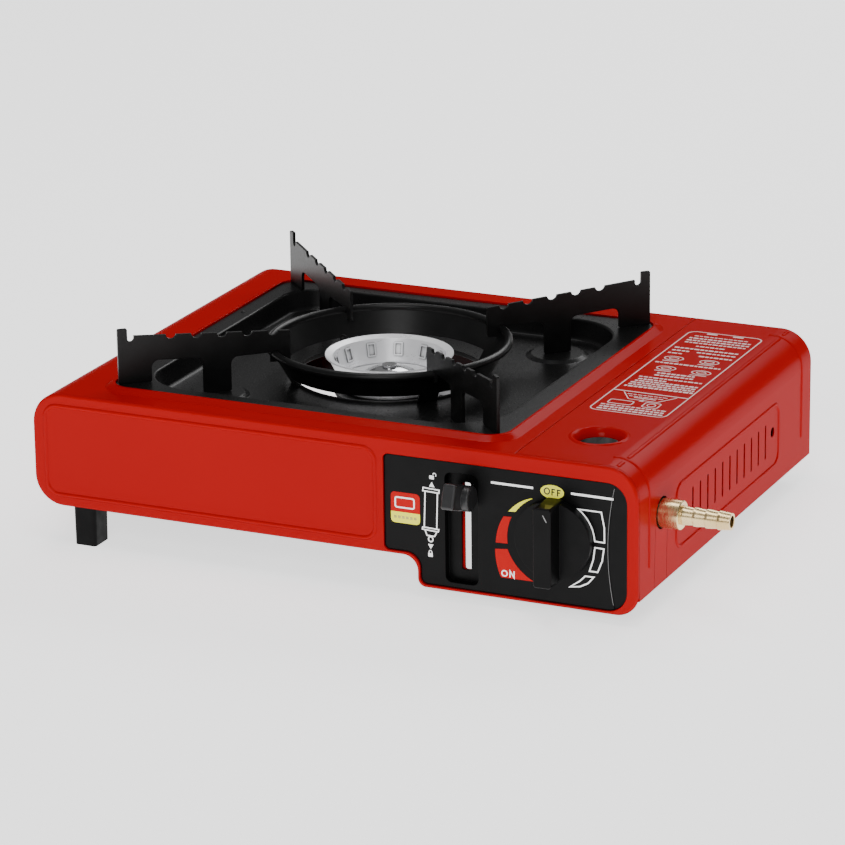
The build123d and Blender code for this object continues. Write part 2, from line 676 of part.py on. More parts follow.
def control_panel():
    """Black moulded panel with the lever's recess, the knob hole and four pegs behind."""
    panel = slab_y(grown(panel_outline(), -PANEL_FIT), PANEL_FACE_Y, PANEL_BACK_Y)
    front = panel.faces().sort_by(Axis.Y)[0]
    panel = fillet(front.outer_wire().edges(), PANEL_SOFT)
    x_end = PANEL_X1 - CREASE_IN
    low, high = BOX_BOTTOM_Z - 1, PANEL_TOP_Z + 1
    arc = ThreePointArc((x_end, low), (x_end - CREASE_BOW, (low + high) / 2), (x_end, high))
    side = Polyline((x_end, high), (BODY_W, high), (BODY_W, low), (x_end, low))
    beyond = make_face(arc.edges() + side.edges())
    panel = panel - slab_y(beyond, PANEL_FACE_Y - 1, PANEL_FACE_Y + CREASE_DROP)
    walls = grown(recess_outline(), RECESS_WALL)
    panel = panel + slab_y(walls, PANEL_FACE_Y, RECESS_FLOOR_Y + RECESS_WALL)
    panel = panel - slab_y(recess_outline(), PANEL_FACE_Y - 1, RECESS_FLOOR_Y)
    panel = panel - slab_y(lever_slot(SLOT_SHOW), 0, BRACKET_Y)
    panel = panel - rod_y(KNOB_X, KNOB_Z, KNOB_BOSS_R + PANEL_FIT, 0, VALVE_Y0)
    for x, z in peg_places():
        panel = panel + rod_y(x, z, PEG_R, PANEL_BACK_Y, PANEL_BACK_Y + PEG_LEN)
    return panel


def panel_nuts():
    """Push nuts on the panel's pegs, behind the front sheet."""
    y0 = PANEL_BACK_Y + SHEET
    nuts = [rod_y(x, z, NUT_R, y0, y0 + NUT_T) - rod_y(x, z, PEG_R, y0, y0 + NUT_T) for x, z in peg_places()]
    return nuts


def lever_bracket():
    """Red bracket behind the front sheet: slotted guide plate, side arm and lever pivot."""
    half = RECESS_W / 2 + RECESS_WALL
    z0, z1 = RECESS_BOTTOM_Z - RECESS_WALL, RECESS_TOP_Z + RECESS_WALL
    plate = slab_y(rectangle(RECESS_X - half, BRACKET_X + SHEET, z0, z1), BRACKET_Y, BRACKET_Y + SHEET)
    plate = plate - slab_y(lever_slot(0), BRACKET_Y - 1, BRACKET_Y + 2 * SHEET)
    seat = PANEL_BACK_Y + SHEET
    arm = outline([
        (seat, PIVOT_Z - ARM_HALF_FRONT, 0),
        (BRACKET_Y + SHEET, PIVOT_Z - ARM_HALF_FRONT, 0),
        (PIVOT_Y, PIVOT_Z - PIVOT_BOSS_R, 0),
        (PIVOT_Y, PIVOT_Z + PIVOT_BOSS_R, 0),
        (BRACKET_Y + SHEET, PIVOT_Z + ARM_HALF_FRONT * 0.6, 0),
        (seat, PIVOT_Z + ARM_HALF_FRONT * 0.6, 0),
    ])
    arm = arm + Pos(PIVOT_Y, PIVOT_Z) * Circle(PIVOT_BOSS_R)
    arm = arm - Pos(PIVOT_Y, PIVOT_Z) * Circle(LEVER_SHAFT_R + SHAFT_CLEAR)
    side = slab_x(arm, BRACKET_X, BRACKET_X + SHEET)
    foot_z0, foot_z1 = PIVOT_Z - ARM_HALF_FRONT, PIVOT_Z + ARM_HALF_FRONT * 0.6
    foot = block(BRACKET_X, BRACKET_X + BRACKET_FOOT_W, seat, seat + SHEET, foot_z0, foot_z1)
    return plate + side + foot


# ---- gas inlet ----
def about_hinge(radius_low, radius_high, z0, z1):
    """Band between two circles about the lid's hinge axis, on the front side, between two heights."""
    band = Pos(HINGE_Y, HINGE_Z) * (Circle(radius_high) - Circle(radius_low))
    return band & rectangle(0, BODY_D / 2, z0, z1)


def inlet_radius():
    return math.hypot(HINGE_Y - INLET_Y, INLET_Z - HINGE_Z)


def tongue_face(extra, z_low):
    """Tongue under the inlet that fills the lid's notch; its sides follow the lid's swing."""
    middle = inlet_radius()
    half = TONGUE_HALF_W + extra
    strip = about_hinge(middle - half, middle + half, z_low, INLET_Z)
    return strip + Pos(INLET_Y, INLET_Z) * Circle(half)


def inlet_bracket():
    """Fixed red tongue in the lid's side wall, with the shelf and the inner plate that carry the inlet."""
    wall_x = BODY_W - SHEET
    back_x = wall_x - LAP_GAP
    middle = inlet_radius()
    half = TONGUE_HALF_W + TONGUE_LAP
    shelf_z = BOX_BOTTOM_Z + SHELF_UP
    top_z = INLET_Z + TONGUE_HALF_W + TONGUE_LAP
    backing_face = about_hinge(middle - half, middle + half, shelf_z, top_z)
    backing = slab_x(backing_face, back_x - SHEET, back_x)
    tongue = slab_x(tongue_face(0, LID_BOTTOM_Z), back_x - SHEET / 2, BODY_W)
    hole = rod_x(INLET_Y, INLET_Z, INLET_HOLE_R, back_x - 2 * SHEET, BODY_W + 1)
    inner_x = wall_x - INLET_INNER_IN
    y0, y1 = INLET_Y - TONGUE_HALF_W, INLET_Y + TONGUE_HALF_W
    edge_x = BODY_W - CRADLE_FLOOR_IN
    shelf = block(edge_x, back_x, y0, y1, shelf_z, shelf_z + SHEET)
    inner = block(inner_x - SHEET, inner_x, y0, y1, shelf_z, top_z)
    inner = inner - rod_x(INLET_Y, INLET_Z, INLET_NECK_R, inner_x - 2 * SHEET, inner_x + SHEET)
    return (backing + tongue - hole) + shelf + inner


def hose_nozzle():
    """Turned brass inlet: neck, round body and barbed tail."""
    inner_x = BODY_W - SHEET - INLET_INNER_IN
    neck_x = inner_x - SHEET - LOCKNUT_T
    body_x = BODY_W + INLET_BODY_LEN
    nozzle = rod_x(INLET_Y, INLET_Z, INLET_NECK_R, neck_x, inner_x)
    body = rod_x(INLET_Y, INLET_Z, INLET_BODY_R, inner_x, body_x)
    nozzle = nozzle + chamfer(body.edges().filter_by(GeomType.CIRCLE), INLET_BODY_R * 0.07)
    for index in range(BARB_COUNT):
        x0 = body_x + index * BARB_PITCH
        land_x = x0 + BARB_LAND
        nozzle = nozzle + rod_x(INLET_Y, INLET_Z, BARB_R, x0, land_x)
        taper_len = BARB_PITCH - BARB_LAND
        cone_place = Pos(land_x + taper_len / 2, INLET_Y, INLET_Z) * Rot(0, 90, 0)
        nozzle = nozzle + cone_place * Cone(BARB_R, BARB_ROOT_R, taper_len)
    tip_x = BODY_W + NOZZLE_OUT
    return nozzle - rod_x(INLET_Y, INLET_Z, INLET_BORE_R, neck_x - 1, tip_x + 1)


def nozzle_locknut():
    inner_x = BODY_W - SHEET - INLET_INNER_IN - SHEET
    hexagon = Pos(INLET_Y, INLET_Z) * (RegularPolygon(LOCKNUT_R, 6) - Circle(INLET_NECK_R))
    return slab_x(hexagon, inner_x - LOCKNUT_T, inner_x)


def valve_right_x():
    return KNOB_X + VALVE_W / 2


def inlet_pipe():
    """Short pipe from the inlet's neck to the valve, socketed over neither: it butts both faces."""
    x1 = BODY_W - SHEET - INLET_INNER_IN - SHEET - LOCKNUT_T
    return rod_x(INLET_Y, INLET_Z, PIPE_R, valve_right_x(), x1) - rod_x(
        INLET_Y, INLET_Z, PIPE_BORE, valve_right_x(), x1)


# ---- gas valve, connector and pipes ----
def gas_valve():
    """Valve and regulator block with the spindle bore, mounting bosses and pipe bosses."""
    z0, z1 = KNOB_Z - VALVE_H / 2, KNOB_Z + VALVE_UP
    x0, x1 = KNOB_X - VALVE_W / 2, valve_right_x()
    body = block(x0, x1, VALVE_Y0, VALVE_Y1, z0, z1)
    body = fillet(body.edges().filter_by(Axis.Y), VALVE_SOFT)
    seat = PANEL_BACK_Y + SHEET
    for z in (z0 + BOSS_R, z1 - BOSS_R):
        body = body + rod_y(x1 - BOSS_R, z, BOSS_R, seat, VALVE_Y0)
    body = body + rod_y(CARTRIDGE_X, CARTRIDGE_Z, REGULATOR_R, VALVE_Y1 - SHEET, VALVE_Y1 + REGULATOR_T)
    outlet_x = igniter_place()[0] - IGNITER_R - SHEET
    outlet = rod_x(outlet_y(), TUBE_Z, PIPE_R * 1.5, x0 - OUTLET_BOSS, outlet_x)
    neck = block(x0, outlet_x, outlet_y() - PIPE_R * 1.5, outlet_y() + PIPE_R * 1.5, z1 - VALVE_SOFT, TUBE_Z)
    body = body + outlet + neck
    bore = SPINDLE_R + SPINDLE_CLEAR
    body = body - rod_y(KNOB_X, KNOB_Z, bore, VALVE_Y0 - 1, VALVE_Y0 + SPINDLE_DEPTH + 1)
    return body - rod_y(CARTRIDGE_X, CARTRIDGE_Z, CONNECTOR_R, VALVE_Y1, VALVE_Y1 + REGULATOR_T + 1)


def cartridge_connector():
    """Brass spigot that the cartridge's valve is pushed onto."""
    y0, y1 = VALVE_Y1, VALVE_Y1 + CONNECTOR_LEN
    spigot = rod_y(CARTRIDGE_X, CARTRIDGE_Z, CONNECTOR_R, y0, y1)
    return spigot - rod_y(CARTRIDGE_X, CARTRIDGE_Z, CONNECTOR_BORE, y0 + 1, y1 + 1)


def connector_seal():
    """Rubber ring round the spigot, against the regulator's face."""
    y = VALVE_Y1 + REGULATOR_T + SEAL_R
    plane = Plane(origin=(CARTRIDGE_X, y, CARTRIDGE_Z), x_dir=(1, 0, 0), z_dir=(0, -1, 0))
    return plane * Torus(CONNECTOR_R + SEAL_R, SEAL_R)


def jet_point():
    return HUB_X + JET_X_OUT, HUB_Y - JET_Y_OUT


def gas_pipe():
    """Pipe from the valve outlet through the heat shield to the jet."""
    x0 = KNOB_X - VALVE_W / 2 - OUTLET_BOSS
    jet_x, jet_y = jet_point()
    turn = (HUB_X + PIPE_TURN_X, outlet_y(), TUBE_Z)
    points = [(x0, outlet_y(), TUBE_Z), turn, (jet_x, jet_y, TUBE_Z)]
    return tube_along(points, PIPE_BEND_R, PIPE_R, PIPE_BORE)


def toward_hub():
    """Plane at the jet, its normal along the mixing tube."""
    jet_x, jet_y = jet_point()
    return Plane(origin=(jet_x, jet_y, TUBE_Z), z_dir=(HUB_X - jet_x, HUB_Y - jet_y, 0))


def gas_jet():
    """Brass jet and its holder plug in the mouth of the mixing tube."""
    plug = extrude(toward_hub() * RegularPolygon(JET_R, 6), amount=JET_LEN)
    tip = extrude(toward_hub().offset(JET_LEN) * Circle(JET_TIP_R), amount=JET_TIP_LEN)
    return plug + tip


def mixing_tube():
    """Venturi tube from the jet to the side of the burner bowl, with air windows at its mouth."""
    start = toward_hub().offset(JET_LEN)
    length = math.hypot(JET_X_OUT, JET_Y_OUT) - JET_LEN - BURNER_NECK_R - BURNER_WALL
    outer = extrude(start * Circle(TUBE_R), amount=length)
    mouth = extrude(start * Circle(TUBE_R + TUBE_WALL), amount=TUBE_MOUTH)
    bore = extrude(start.offset(TUBE_WALL) * Circle(TUBE_R - TUBE_WALL), amount=length)
    tube = outer + mouth - bore - extrude(start * Circle(JET_TIP_R), amount=JET_TIP_LEN + 1)
    windows = start.offset(TUBE_MOUTH * 0.5) * Box(4 * TUBE_R, TUBE_R * 0.7, TUBE_MOUTH * 0.5)
    reach = math.hypot(HUB_X, HUB_Y)
    return tube - windows - rod_z(HUB_X, HUB_Y, BURNER_NECK_R, 0, reach)


# ---- burner ----
def burner_bowl():
    """Cast aluminium bowl: rolled rim, conical wall with framed pockets, closed neck."""
    neck_z = BURNER_RIM_Z - BOWL_DEPTH
    inner_neck = BURNER_NECK_R - BURNER_WALL
    floor_z = neck_z - BOWL_FLOOR_DROP
    throat_z = BURNER_BASE_Z + BURNER_WALL
    throat_r = inner_neck - BURNER_WALL
    profile = make_face(Polyline(
        (0, BURNER_BASE_Z), (BURNER_NECK_R, BURNER_BASE_Z), (BURNER_NECK_R, neck_z),
        (BURNER_RIM_R - RIM_LIP, BURNER_RIM_Z - RIM_LIP), (BURNER_RIM_R, BURNER_RIM_Z - RIM_LIP / 2),
        (BURNER_RIM_R, BURNER_RIM_Z), (BURNER_INNER_R, BURNER_RIM_Z - RIM_DISH),
        (BURNER_INNER_R - POCKET_LEAN, neck_z + BURNER_WALL), (inner_neck, floor_z),
        (HEAD_STEM_R, floor_z), (HEAD_STEM_R, floor_z - BURNER_WALL),
        (throat_r, floor_z - BURNER_WALL), (throat_r, throat_z), (0, throat_z), (0, BURNER_BASE_Z)))
    bowl = ring_of(profile)
    start = toward_hub()
    length = math.hypot(JET_X_OUT, JET_Y_OUT)
    bowl = bowl - extrude(start * Circle(TUBE_R - TUBE_WALL), amount=length - BURNER_NECK_R / 2)
    top = BURNER_RIM_Z - RIM_DISH - POCKET_DROP
    lean = math.degrees(math.atan2(POCKET_LEAN, BOWL_DEPTH - RIM_DISH - BURNER_WALL))
    middle_r = BURNER_INNER_R - (POCKET_DROP + POCKET_H / 2) * math.tan(math.radians(lean))
    for index in range(POCKETS):
        angle = 360.0 * (index + 0.5) / POCKETS
        centre = Pos(HUB_X, HUB_Y, top - POCKET_H / 2) * Rot(0, 0, angle)
        place = centre * Pos(middle_r, 0, 0) * Rot(0, lean, 0)
        frame = Box(POCKET_PROUD * 2, POCKET_W + 2 * POCKET_FRAME, POCKET_H + POCKET_FRAME)
        sunk = (POCKET_SINK - POCKET_PROUD) / 2
        recess = Pos(sunk, 0, 0) * Box(POCKET_PROUD + POCKET_SINK, POCKET_W, POCKET_H - POCKET_FRAME)
        bowl = bowl + place * (frame - recess)
    return bowl


def burner_head():
    """Flame cap in the bowl: a domed disc with notches round its edge, on a hollow stem."""
    floor_z = BURNER_RIM_Z - BOWL_DEPTH - BOWL_FLOOR_DROP
    top_z = BURNER_RIM_Z - HEAD_DROP
    edge_z = top_z - HEAD_EDGE
    dome = ThreePointArc((HEAD_R, edge_z), (HEAD_R * 0.62, top_z - HEAD_EDGE * 0.3), (0, top_z))
    profile = make_face(
        Polyline((0, floor_z), (HEAD_R * 0.8, floor_z), (HEAD_R, edge_z)).edges()
        + dome.edges()
        + Line((0, top_z), (0, floor_z)).edges())
    head = ring_of(profile)
    for index in range(HEAD_SLOTS):
        angle = 360.0 * index / HEAD_SLOTS
        notch = Pos(HUB_X, HUB_Y, 0) * Rot(0, 0, angle) * Pos(HEAD_R, 0, 0)
        head = head - notch * rod_z(0, 0, HEAD_NOTCH_R, floor_z + 1, top_z + 1)
    head = head + rod_z(HUB_X, HUB_Y, HEAD_BUTTON_R, top_z - 1, top_z + HEAD_BUTTON_H)
    return head + rod_z(HUB_X, HUB_Y, HEAD_STEM_R, BURNER_BASE_Z + BURNER_WALL, floor_z)


def electrode_place():
    angle = math.radians(ELECTRODE_ANGLE)
    return HUB_X + ELECTRODE_OUT * math.cos(angle), HUB_Y + ELECTRODE_OUT * math.sin(angle)


def burner_bracket():
    """Collar round the bowl's neck with a strap to the heat shield and a clip for the electrode."""
    z0 = BURNER_RIM_Z - BOWL_DEPTH - 2 * SHEET
    collar = rod_z(HUB_X, HUB_Y, BURNER_NECK_R + STRAP_W / 3, z0, z0 + SHEET * 2)
    strap = block(HUB_X, SHIELD_X, HUB_Y, HUB_Y + STRAP_W, z0, z0 + SHEET * 2)
    tab = block(SHIELD_X - SHEET * 2, SHIELD_X, HUB_Y, HUB_Y + STRAP_W, z0 - STRAP_W / 2, z0)
    x, y = electrode_place()
    run = Pos(HUB_X, HUB_Y, z0 + SHEET) * Rot(0, 0, ELECTRODE_ANGLE)
    clip = run * Pos(ELECTRODE_OUT / 2, 0, 0) * Box(ELECTRODE_OUT, INSULATOR_R * 2.4, SHEET * 2)
    clip = clip + rod_z(x, y, INSULATOR_R * 1.7, z0, z0 + SHEET * 2)
    bracket = collar + strap + tab + clip
    bracket = bracket - rod_z(HUB_X, HUB_Y, BURNER_NECK_R, z0 - 1, z0 + SHEET * 3)
    return bracket - rod_z(x, y, INSULATOR_R, z0 - 1, z0 + SHEET * 3)


def electrode_insulator():
    x, y = electrode_place()
    base = TUBE_Z - INSULATOR_BELOW
    stem = rod_z(x, y, INSULATOR_R, base, BURNER_RIM_Z - INSULATOR_DROP)
    return stem - rod_z(x, y, ELECTRODE_R, base - 1, BURNER_RIM_Z)


def igniter_electrode():
    """Steel wire through the insulator, bent over towards the bowl's rim."""
    x, y = electrode_place()
    angle = math.radians(ELECTRODE_ANGLE)
    tip_r = BURNER_RIM_R + SPARK_GAP
    top_z = BURNER_RIM_Z + ELECTRODE_R
    points = [
        (x, y, TUBE_Z - INSULATOR_BELOW),
        (x, y, top_z),
        (HUB_X + tip_r * math.cos(angle), HUB_Y + tip_r * math.sin(angle), top_z),
    ]
    path = FilletPolyline(*points, radius=ELECTRODE_R * 2)
    return sweep(Plane(origin=path @ 0, z_dir=path % 0) * Circle(ELECTRODE_R), path=path)


# ---- piezo igniter ----
def igniter_place():
    return KNOB_X - IGNITER_LEFT, KNOB_Z + VALVE_UP + IGNITER_R


def igniter_body():
    """Piezo unit that lies on the valve, with a foot along its underside."""
    x, z = igniter_place()
    body = rod_y(x, z, IGNITER_R, IGNITER_Y0, IGNITER_Y1)
    foot_half = IGNITER_R * 0.7
    body = body + block(x - foot_half, x + foot_half, IGNITER_Y0, IGNITER_Y1 - 2, z - IGNITER_R, z)
    return body - rod_y(x, z, STRIKER_R + SPINDLE_CLEAR, IGNITER_Y0 - 1, IGNITER_Y0 + STRIKER_BORE)


def igniter_plunger():
    x, z = igniter_place()
    return rod_y(x, z, STRIKER_R, STRIKER_Y0, IGNITER_Y0 + STRIKER_BORE - STRIKE_TRAVEL - STRIKER_REST)


def lead_points():
    """Route of the igniter lead: round the valve, through the heat shield, behind the burner."""
    x, z = igniter_place()
    end_x, end_y = electrode_place()
    lane_x, high_z, low_z = SHIELD_X - LEAD_LANE, LEAD_HOLE_Z + LEAD_RISE, TUBE_Z - LEAD_FALL
    return [
        (x, IGNITER_Y1, z),
        (x, IGNITER_Y1 + LEAD_LANE, z),
        (SHIELD_X + LEAD_LANE, LEAD_HOLE_Y, LEAD_HOLE_Z),
        (lane_x, LEAD_HOLE_Y, LEAD_HOLE_Z),
        (lane_x, HUB_Y - STRAP_W, high_z),
        (lane_x, HUB_Y + 1.5 * STRAP_W, high_z),
        (lane_x, HUB_Y + 2.5 * STRAP_W, TUBE_Z + TUBE_R),
        (HUB_X + BURNER_NECK_R * 2.5, HUB_Y + BURNER_NECK_R * 2.6, TUBE_Z + LEAD_R),
        (HUB_X + BURNER_NECK_R, HUB_Y + BURNER_NECK_R * 2.6, TUBE_Z),
        (HUB_X - BURNER_NECK_R / 2, HUB_Y + BURNER_NECK_R * 2.3, TUBE_Z - INSULATOR_BELOW),
        (end_x, end_y + BURNER_NECK_R, low_z),
        (end_x, end_y, low_z),
        (end_x, end_y, TUBE_Z - INSULATOR_BELOW),
    ]


def bend_radii(points):
    """Largest arcs that the runs allow: 0.45 of the shorter run over the tangent of half the turn."""
    radii = []
    for before, here, after in zip(points, points[1:], points[2:]):
        first = Vector(*here) - Vector(*before)
        second = Vector(*after) - Vector(*here)
        half_turn = math.radians(first.get_angle(second)) / 2
        radii.append(0.45 * min(first.length, second.length) / math.tan(half_turn))
    return radii


def igniter_lead():
    points = lead_points()
    radii = bend_radii(points)
    print("igniter lead bend radii:", [round(radius, 1) for radius in radii])
    path = FilletPolyline(*points, radius=radii)
    return sweep(Plane(origin=path @ 0, z_dir=path % 0) * Circle(LEAD_R), path=path)


# ---- knob ----
def gas_knob():
    """Round knob with a grip bar; the disc falls away on both sides of the bar."""
    disc = rod_y(KNOB_X, KNOB_Z, KNOB_R, KNOB_DISC_Y, KNOB_BACK_Y)
    roof = make_face(Polyline(
        (KNOB_X - KNOB_R - 1, KNOB_RIM_Y), (KNOB_X, KNOB_DISC_Y), (KNOB_X + KNOB_R + 1, KNOB_RIM_Y),
        (KNOB_X + KNOB_R + 1, KNOB_BACK_Y + 1), (KNOB_X - KNOB_R - 1, KNOB_BACK_Y + 1), close=True))
    prism = slab_z(roof, KNOB_Z - KNOB_R - 1, KNOB_Z + KNOB_R + 1)
    disc = disc & prism
    half_w, half_l = GRIP_W / 2, GRIP_LEN / 2
    bar_face = rounded(KNOB_X - half_w, KNOB_X + half_w, KNOB_Z - half_l, KNOB_Z + half_l, GRIP_R)
    bar = slab_y(bar_face, KNOB_FRONT_Y, KNOB_BACK_Y)
    bar = fillet(bar.faces().sort_by(Axis.Y)[0].edges(), GRIP_SOFT)
    boss = rod_y(KNOB_X, KNOB_Z, KNOB_BOSS_R, KNOB_BACK_Y, PANEL_BACK_Y + SHEET)
    knob = disc + bar + boss
    return knob - rod_y(KNOB_X, KNOB_Z, SPINDLE_R, KNOB_DISC_Y, VALVE_Y0)


def valve_spindle():
    """Spindle from the knob into the valve, with the stepped face cam that drives the igniter."""
    spindle = rod_y(KNOB_X, KNOB_Z, SPINDLE_R, KNOB_DISC_Y, VALVE_Y0 + SPINDLE_DEPTH)
    x, z = igniter_place()
    reach = math.hypot(x - KNOB_X, z - KNOB_Z)
    cam_y1 = STRIKER_Y0 - CAM_GAP
    arm = rod_y(KNOB_X, KNOB_Z, SPINDLE_R * 1.8, cam_y1 - CAM_T, cam_y1)
    start = math.degrees(math.atan2(z - KNOB_Z, x - KNOB_X)) - CAM_HALF_ANGLE
    sector = Circle(reach + STRIKER_R) & cam_wedge(reach * 2, start, CAM_HALF_ANGLE * 2)
    return spindle + arm + slab_y(Pos(KNOB_X, KNOB_Z) * sector, cam_y1 - CAM_T, cam_y1)


def cam_wedge(reach, start, sweep_angle):
    """Triangle from the axis that covers the angles from start to start plus sweep_angle."""
    ends = [math.radians(start), math.radians(start + sweep_angle)]
    points = [(reach * math.cos(angle), reach * math.sin(angle)) for angle in ends]
    return make_face(Polyline((0, 0), points[0], points[1], close=True))


# ---- lock lever ----
def swing_place():
    """Place of the lever's own frame: origin at the pivot, reach along minus Y, raised to UNLOCK."""
    return Pos(0, PIVOT_Y, PIVOT_Z) * Rot(-LEVER_SWING / 2, 0, 0)


def lock_lever():
    """Flat lever through the slot, with its hub."""
    half = LEVER_H / 2
    face = rectangle(CAP_WALL - LEVER_REACH, 0, -half, half) + Circle(LEVER_HUB_R)
    face = face - Circle(LEVER_SHAFT_R)
    x0, x1 = LEVER_X - LEVER_T / 2, LEVER_X + LEVER_T / 2
    return swing_place() * slab_x(face, x0, x1)


def cap_front_y():
    """Foremost point of the finger cap with the lever at UNLOCK."""
    lean = math.radians(LEVER_SWING / 2)
    reach = (LEVER_REACH - CAP_FRONT_R) * math.cos(lean) + (CAP_H / 2 - CAP_FRONT_R) * math.sin(lean)
    return PIVOT_Y - reach - CAP_FRONT_R


def lever_cap():
    """Moulded finger cap on the lever's end: flat front, rounded back on a wider round base."""
    half = CAP_H / 2
    middle = CAP_LEN - half - LEVER_REACH
    front = -LEVER_REACH
    face = outline([
        (front, -half, CAP_FRONT_R), (middle, -half, 0), (middle, half, 0), (front, half, CAP_FRONT_R)])
    face = face + Pos(middle, 0) * Circle(half)
    cap = slab_x(face, LEVER_X - CAP_W / 2, LEVER_X + CAP_W / 2)
    cap = fillet(cap.faces().sort_by(Axis.X)[0].edges() + cap.faces().sort_by(Axis.X)[-1].edges(), CAP_SOFT)
    base = Pos(middle + CAP_BASE_BACK, 0) * Circle(half)
    base = slab_x(base, LEVER_X - CAP_BASE_W / 2, LEVER_X + CAP_BASE_W / 2)
    base = fillet(base.edges().filter_by(GeomType.CIRCLE), CAP_SOFT)
    plate = LEVER_H / 2
    x0, x1 = LEVER_X - LEVER_T / 2, LEVER_X + LEVER_T / 2
    socket = slab_x(rectangle(CAP_WALL - LEVER_REACH, 0, -plate, plate), x0, x1)
    return swing_place() * (cap + base - socket)


def lever_shaft():
    """Shaft that turns with the lever and the crank, held in the bracket and the heat shield."""
    x0, x1 = LEVER_X - LEVER_T / 2 - SHAFT_HEAD_T, crank_x() + CRANK_T
    shaft = rod_x(PIVOT_Y, PIVOT_Z, LEVER_SHAFT_R, x0, x1)
    return shaft + rod_x(PIVOT_Y, PIVOT_Z, LEVER_SHAFT_R * 1.6, x0, x0 + SHAFT_HEAD_T)


def crank_x():
    return SHIELD_X + SHEET + CRANK_OFF


def lever_crank():
    """Crank inside the bay; its pin drives the cartridge pusher."""
    arm = Circle(LEVER_HUB_R) + Pos(0, CRANK_REACH) * Circle(FINGER_PIN_R * 2)
    arm = arm + rectangle(-FINGER_PIN_R * 2, FINGER_PIN_R * 2, 0, CRANK_REACH)
    arm = arm - Circle(LEVER_SHAFT_R)
    x0 = crank_x()
    crank = slab_x(arm, x0, x0 + CRANK_T)
    pin_x0 = SHIELD_X + SHEET + PUSHER_OFF
    crank = crank + slab_x(Pos(0, CRANK_REACH) * Circle(FINGER_PIN_R), pin_x0, x0 + CRANK_T)
    return swing_place() * crank


# ---- cartridge pusher ----
def guide_places():
    return GUIDE_Y, BODY_D - GUIDE_Y


def cartridge_pusher():
    """Flat bar along the heat shield; its rear tab pushes the cartridge forward onto the connector."""
    x0 = SHIELD_X + SHEET + PUSHER_OFF
    x1 = x0 + PUSHER_T
    z0, z1 = PUSHER_Z - PUSHER_H / 2, PUSHER_Z + PUSHER_H / 2
    tab_y = CARTRIDGE_Y0 + PUSH_TRAVEL + CARTRIDGE_LEN + PUSHER_FIT
    front_y = PIVOT_Y - PUSHER_FRONT
    bar = block(x0, x1, front_y, tab_y + PUSHER_T, z0, z1)
    tab = block(x0, CARTRIDGE_X + PUSHER_TAB_PAST, tab_y, tab_y + PUSHER_T, z0 - PUSHER_H / 2, z1)
    pusher = bar + tab
    swing = math.radians(LEVER_SWING / 2)
    pin_y = PIVOT_Y + CRANK_REACH * math.sin(swing)
    low = PIVOT_Z + CRANK_REACH * math.cos(swing) - FINGER_PIN_R - PUSHER_FIT
    high = PIVOT_Z + CRANK_REACH + FINGER_PIN_R + PUSHER_FIT
    half = FINGER_PIN_R + PUSHER_FIT
    pusher = pusher - slab_x(rounded(pin_y - half, pin_y + half, low, high, half * 0.95), x0 - 1, x1 + 1)
    for y in guide_places():
        half_z = GUIDE_R + PUSHER_FIT
        low, high = PUSHER_Z - half_z, PUSHER_Z + half_z
        slot = rounded(y - half_z, y + PUSH_TRAVEL + half_z, low, high, half_z * 0.95)
        pusher = pusher - slab_x(slot, x0 - 1, x1 + 1)
    return pusher


def pusher_guides():
    """Shouldered rivets that carry the pusher on the heat shield."""
    x0 = SHIELD_X
    bar_x = SHIELD_X + SHEET + PUSHER_OFF
    head_x = bar_x + PUSHER_T + PUSHER_FIT
    guides = []
    for y in guide_places():
        shank = rod_x(y, PUSHER_Z, GUIDE_R, x0, head_x)
        guides.append(shank + rod_x(y, PUSHER_Z, GUIDE_HEAD_R, head_x, head_x + GUIDE_HEAD_T))
    return guides


# ---- cartridge lid ----
def lid_ear_places():
    return LID_X0 + LID_EAR_IN, BODY_W - CRADLE_FLOOR_IN + EAR_GAP


def lid_ear(x0):
    """Ear on the lid's rear wall, round about the hinge axis."""
    face = Circle(EAR_R) + rectangle(0, HINGE_IN - SHEET / 2, -EAR_R, EAR_R)
    face = face - Circle(HINGE_PIN_R + HINGE_CLEAR)
    return slab_x(Pos(HINGE_Y, HINGE_Z) * face, x0, x0 + EAR_T)


def finger_ring():
    """Rolled lip of the finger hole, turned about the hole's axis."""
    outer, inner = FINGER_RING_R, FINGER_R
    crest = (outer * 0.93, TOP_Z + FINGER_RIDGE)
    top = ThreePointArc((outer + SHEET, TOP_Z), crest, (outer * 0.86, TOP_Z - FINGER_RIDGE * 0.4))
    fall = ThreePointArc(top @ 1, (inner * 1.09, TOP_Z - FINGER_DIP * 0.38), (inner, TOP_Z - FINGER_DIP))
    back = Polyline(fall @ 1, (inner + SHEET, TOP_Z - FINGER_DIP), (outer * 0.86, TOP_Z - 2 * SHEET),
                    (outer + SHEET, INNER_TOP_Z), top @ 0)
    profile = make_face(top.edges() + fall.edges() + back.edges())
    x = (LID_X0 + BODY_W) / 2 - FINGER_LEFT
    return Pos(x, FINGER_Y, 0) * revolve(Plane.XZ * profile, axis=Axis.Z)


def vent_places():
    return [VENT_FIRST_Y + index * VENT_PITCH for index in range(VENT_COUNT)]


def corner_bead_depth():
    return BEAD_R - BEAD_H


